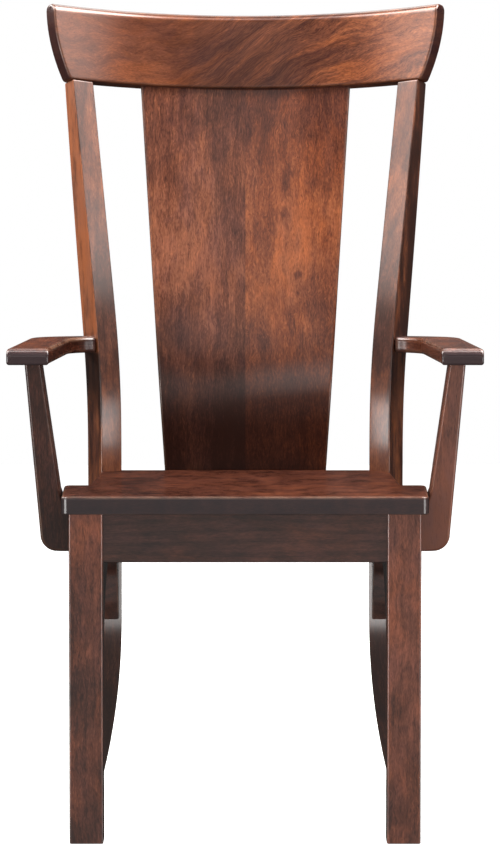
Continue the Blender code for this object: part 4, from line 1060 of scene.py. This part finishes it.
for where, how_bright in ((in_front, ROOM_FLOOR_FRONT), (beside, ROOM_FLOOR_SIDE), (behind, ROOM_FLOOR_BACK)):
    total = g.math("ADD", total, g.math("MULTIPLY", g.math("MULTIPLY", low, where), how_bright))
# two low white panels stand ahead to the left and to the right
panel = g.math("MULTIPLY", g.fit(ahead, 0.28, 0.42), g.fit(ahead, 0.84, 0.70))
panel = g.math("MULTIPLY", panel, g.math("MULTIPLY", g.fit(up, 0.055, 0.020), g.fit(up, -0.20, -0.12)))
panel = g.math("MULTIPLY", panel, g.fit(east, -0.2, 0.2, 1.5, 1.0))
total = g.math("ADD", total, g.math("MULTIPLY", panel, ROOM_PANEL))
# a soft glow low in front, higher and brighter to the left, and a fainter one behind
turned_right = g.math("DIVIDE", east, g.math("MAXIMUM", reach, 0.001))
sunk = g.math("SUBTRACT", up, g.fit(turned_right, -0.08, 0.08, 0.09, 0.0))
haze = g.math("MULTIPLY", g.fit(sunk, -0.07, 0.02), g.fit(sunk, 0.30, 0.12))
haze = g.math("MULTIPLY", haze, g.fit(turned_right, -0.08, 0.08, 1.0, 0.5))
total = g.math("ADD", total, g.math("MULTIPLY", g.math("MULTIPLY", haze, in_front), ROOM_HAZE))
rear = g.math("MULTIPLY", g.fit(up, -0.02, 0.02), g.fit(up, 0.45, 0.15))
total = g.math("ADD", total, g.math("MULTIPLY", g.math("MULTIPLY", rear, behind), ROOM_BEHIND))
out = world.node_tree.nodes.new("ShaderNodeOutputWorld")
blend = world.node_tree.nodes.new("ShaderNodeMixShader")
path = world.node_tree.nodes.new("ShaderNodeLightPath")
room = world.node_tree.nodes.new("ShaderNodeBackground")
white = world.node_tree.nodes.new("ShaderNodeBackground")
room.inputs[0].default_value = (1.0, 0.985, 0.97, 1.0)
white.inputs[0].default_value = (1.0, 1.0, 1.0, 1.0)
g.put(room.inputs[1], total)
g.put(blend.inputs[0], path.outputs["Is Camera Ray"])
g.put(blend.inputs[1], room.outputs[0])
g.put(blend.inputs[2], white.outputs[0])
g.put(out.inputs[0], blend.outputs[0])


def softbox(name, place, aim, size, power, colour=(1.0, 0.98, 0.95)):
    light = bpy.data.lights.new(name, "AREA")
    light.shape = "RECTANGLE"
    light.size, light.size_y = size
    light.energy = power
    light.color = colour
    thing = bpy.data.objects.new(name, light)
    bpy.context.scene.collection.objects.link(thing)
    thing.location = place
    thing.rotation_euler = (Vector(aim) - Vector(place)).to_track_quat("-Z", "Y").to_euler()
    return thing


def from_chair(azimuth, elevation, distance):
    """A place round the chair: azimuth from straight ahead to its left, as seen from the camera to the right."""
    a, e = math.radians(azimuth), math.radians(elevation)
    return (distance * math.sin(a) * math.cos(e), -distance * math.cos(a) * math.cos(e), 0.75 + distance * math.sin(e))


for name, azimuth, elevation, size, brightness in (
        ("left box", -56.0, 31.0, (1.5, 1.15), 5.2), ("right box", 56.0, 31.0, (1.5, 1.15), 5.0),
        ("front box", 0.0, 33.0, (1.5, 1.15), 0.9), ("far left box", -122.0, 27.0, (1.4, 1.2), 12.0),
        ("back box", 180.0, 48.0, (1.8, 1.6), 4.0), ("high right box", 92.0, 59.0, (2.3, 1.9), 8.0),
        ("high left box", -90.0, 57.0, (1.4, 1.3), 8.0)):
    box = softbox(name, from_chair(azimuth, elevation, 3.2), (0.0, 0.0, 0.75), size, brightness * math.pi * size[0] * size[1])
    box.visible_camera = False
# cards draw the shine along the crest rail's rounded top and the arms' front ends
for name, azimuth, elevation, size, brightness in (("right card", 86.0, 54.0, (2.2, 2.2), 16.5), ("left card", -78.0, 50.0, (1.7, 2.0), 14.0),
                                              ("top card", 0.0, 80.0, (2.2, 1.0), 3.0)):
    card = softbox(name, from_chair(azimuth, elevation, 3.1), (0.0, 0.0, 0.75), size, brightness * math.pi * size[0] * size[1])
    card.visible_camera = False
    card.visible_diffuse = False
box = softbox("top box", (0.0, -0.25, 3.1), (0.0, -0.20, 0.5), (1.9, 0.35), 10.0 * math.pi * 1.9 * 0.35)
box.visible_camera = False

# ---- camera --------------------------------------------------------------------------------
DISTANCE, SCALE, EYE, HORIZON = 5.3, 1.31 * MM, 0.9316, 140.0
lens = bpy.data.cameras.new("camera")
camera = bpy.data.objects.new("camera", lens)
bpy.context.scene.collection.objects.link(camera)
pitch = math.atan((428.0 - HORIZON) * SCALE / DISTANCE)
camera.location = (0.0065, -FRONT_TO_ORIGIN - DISTANCE, EYE)
camera.rotation_euler = (math.pi / 2.0 - pitch, 0.0, 0.0)
lens.sensor_width = 36.0
lens.lens = 36.0 * DISTANCE * math.cos(pitch) / (856.0 * SCALE) * 1.003
bpy.context.scene.camera = camera
bpy.context.scene.view_settings.view_transform = "Standard"
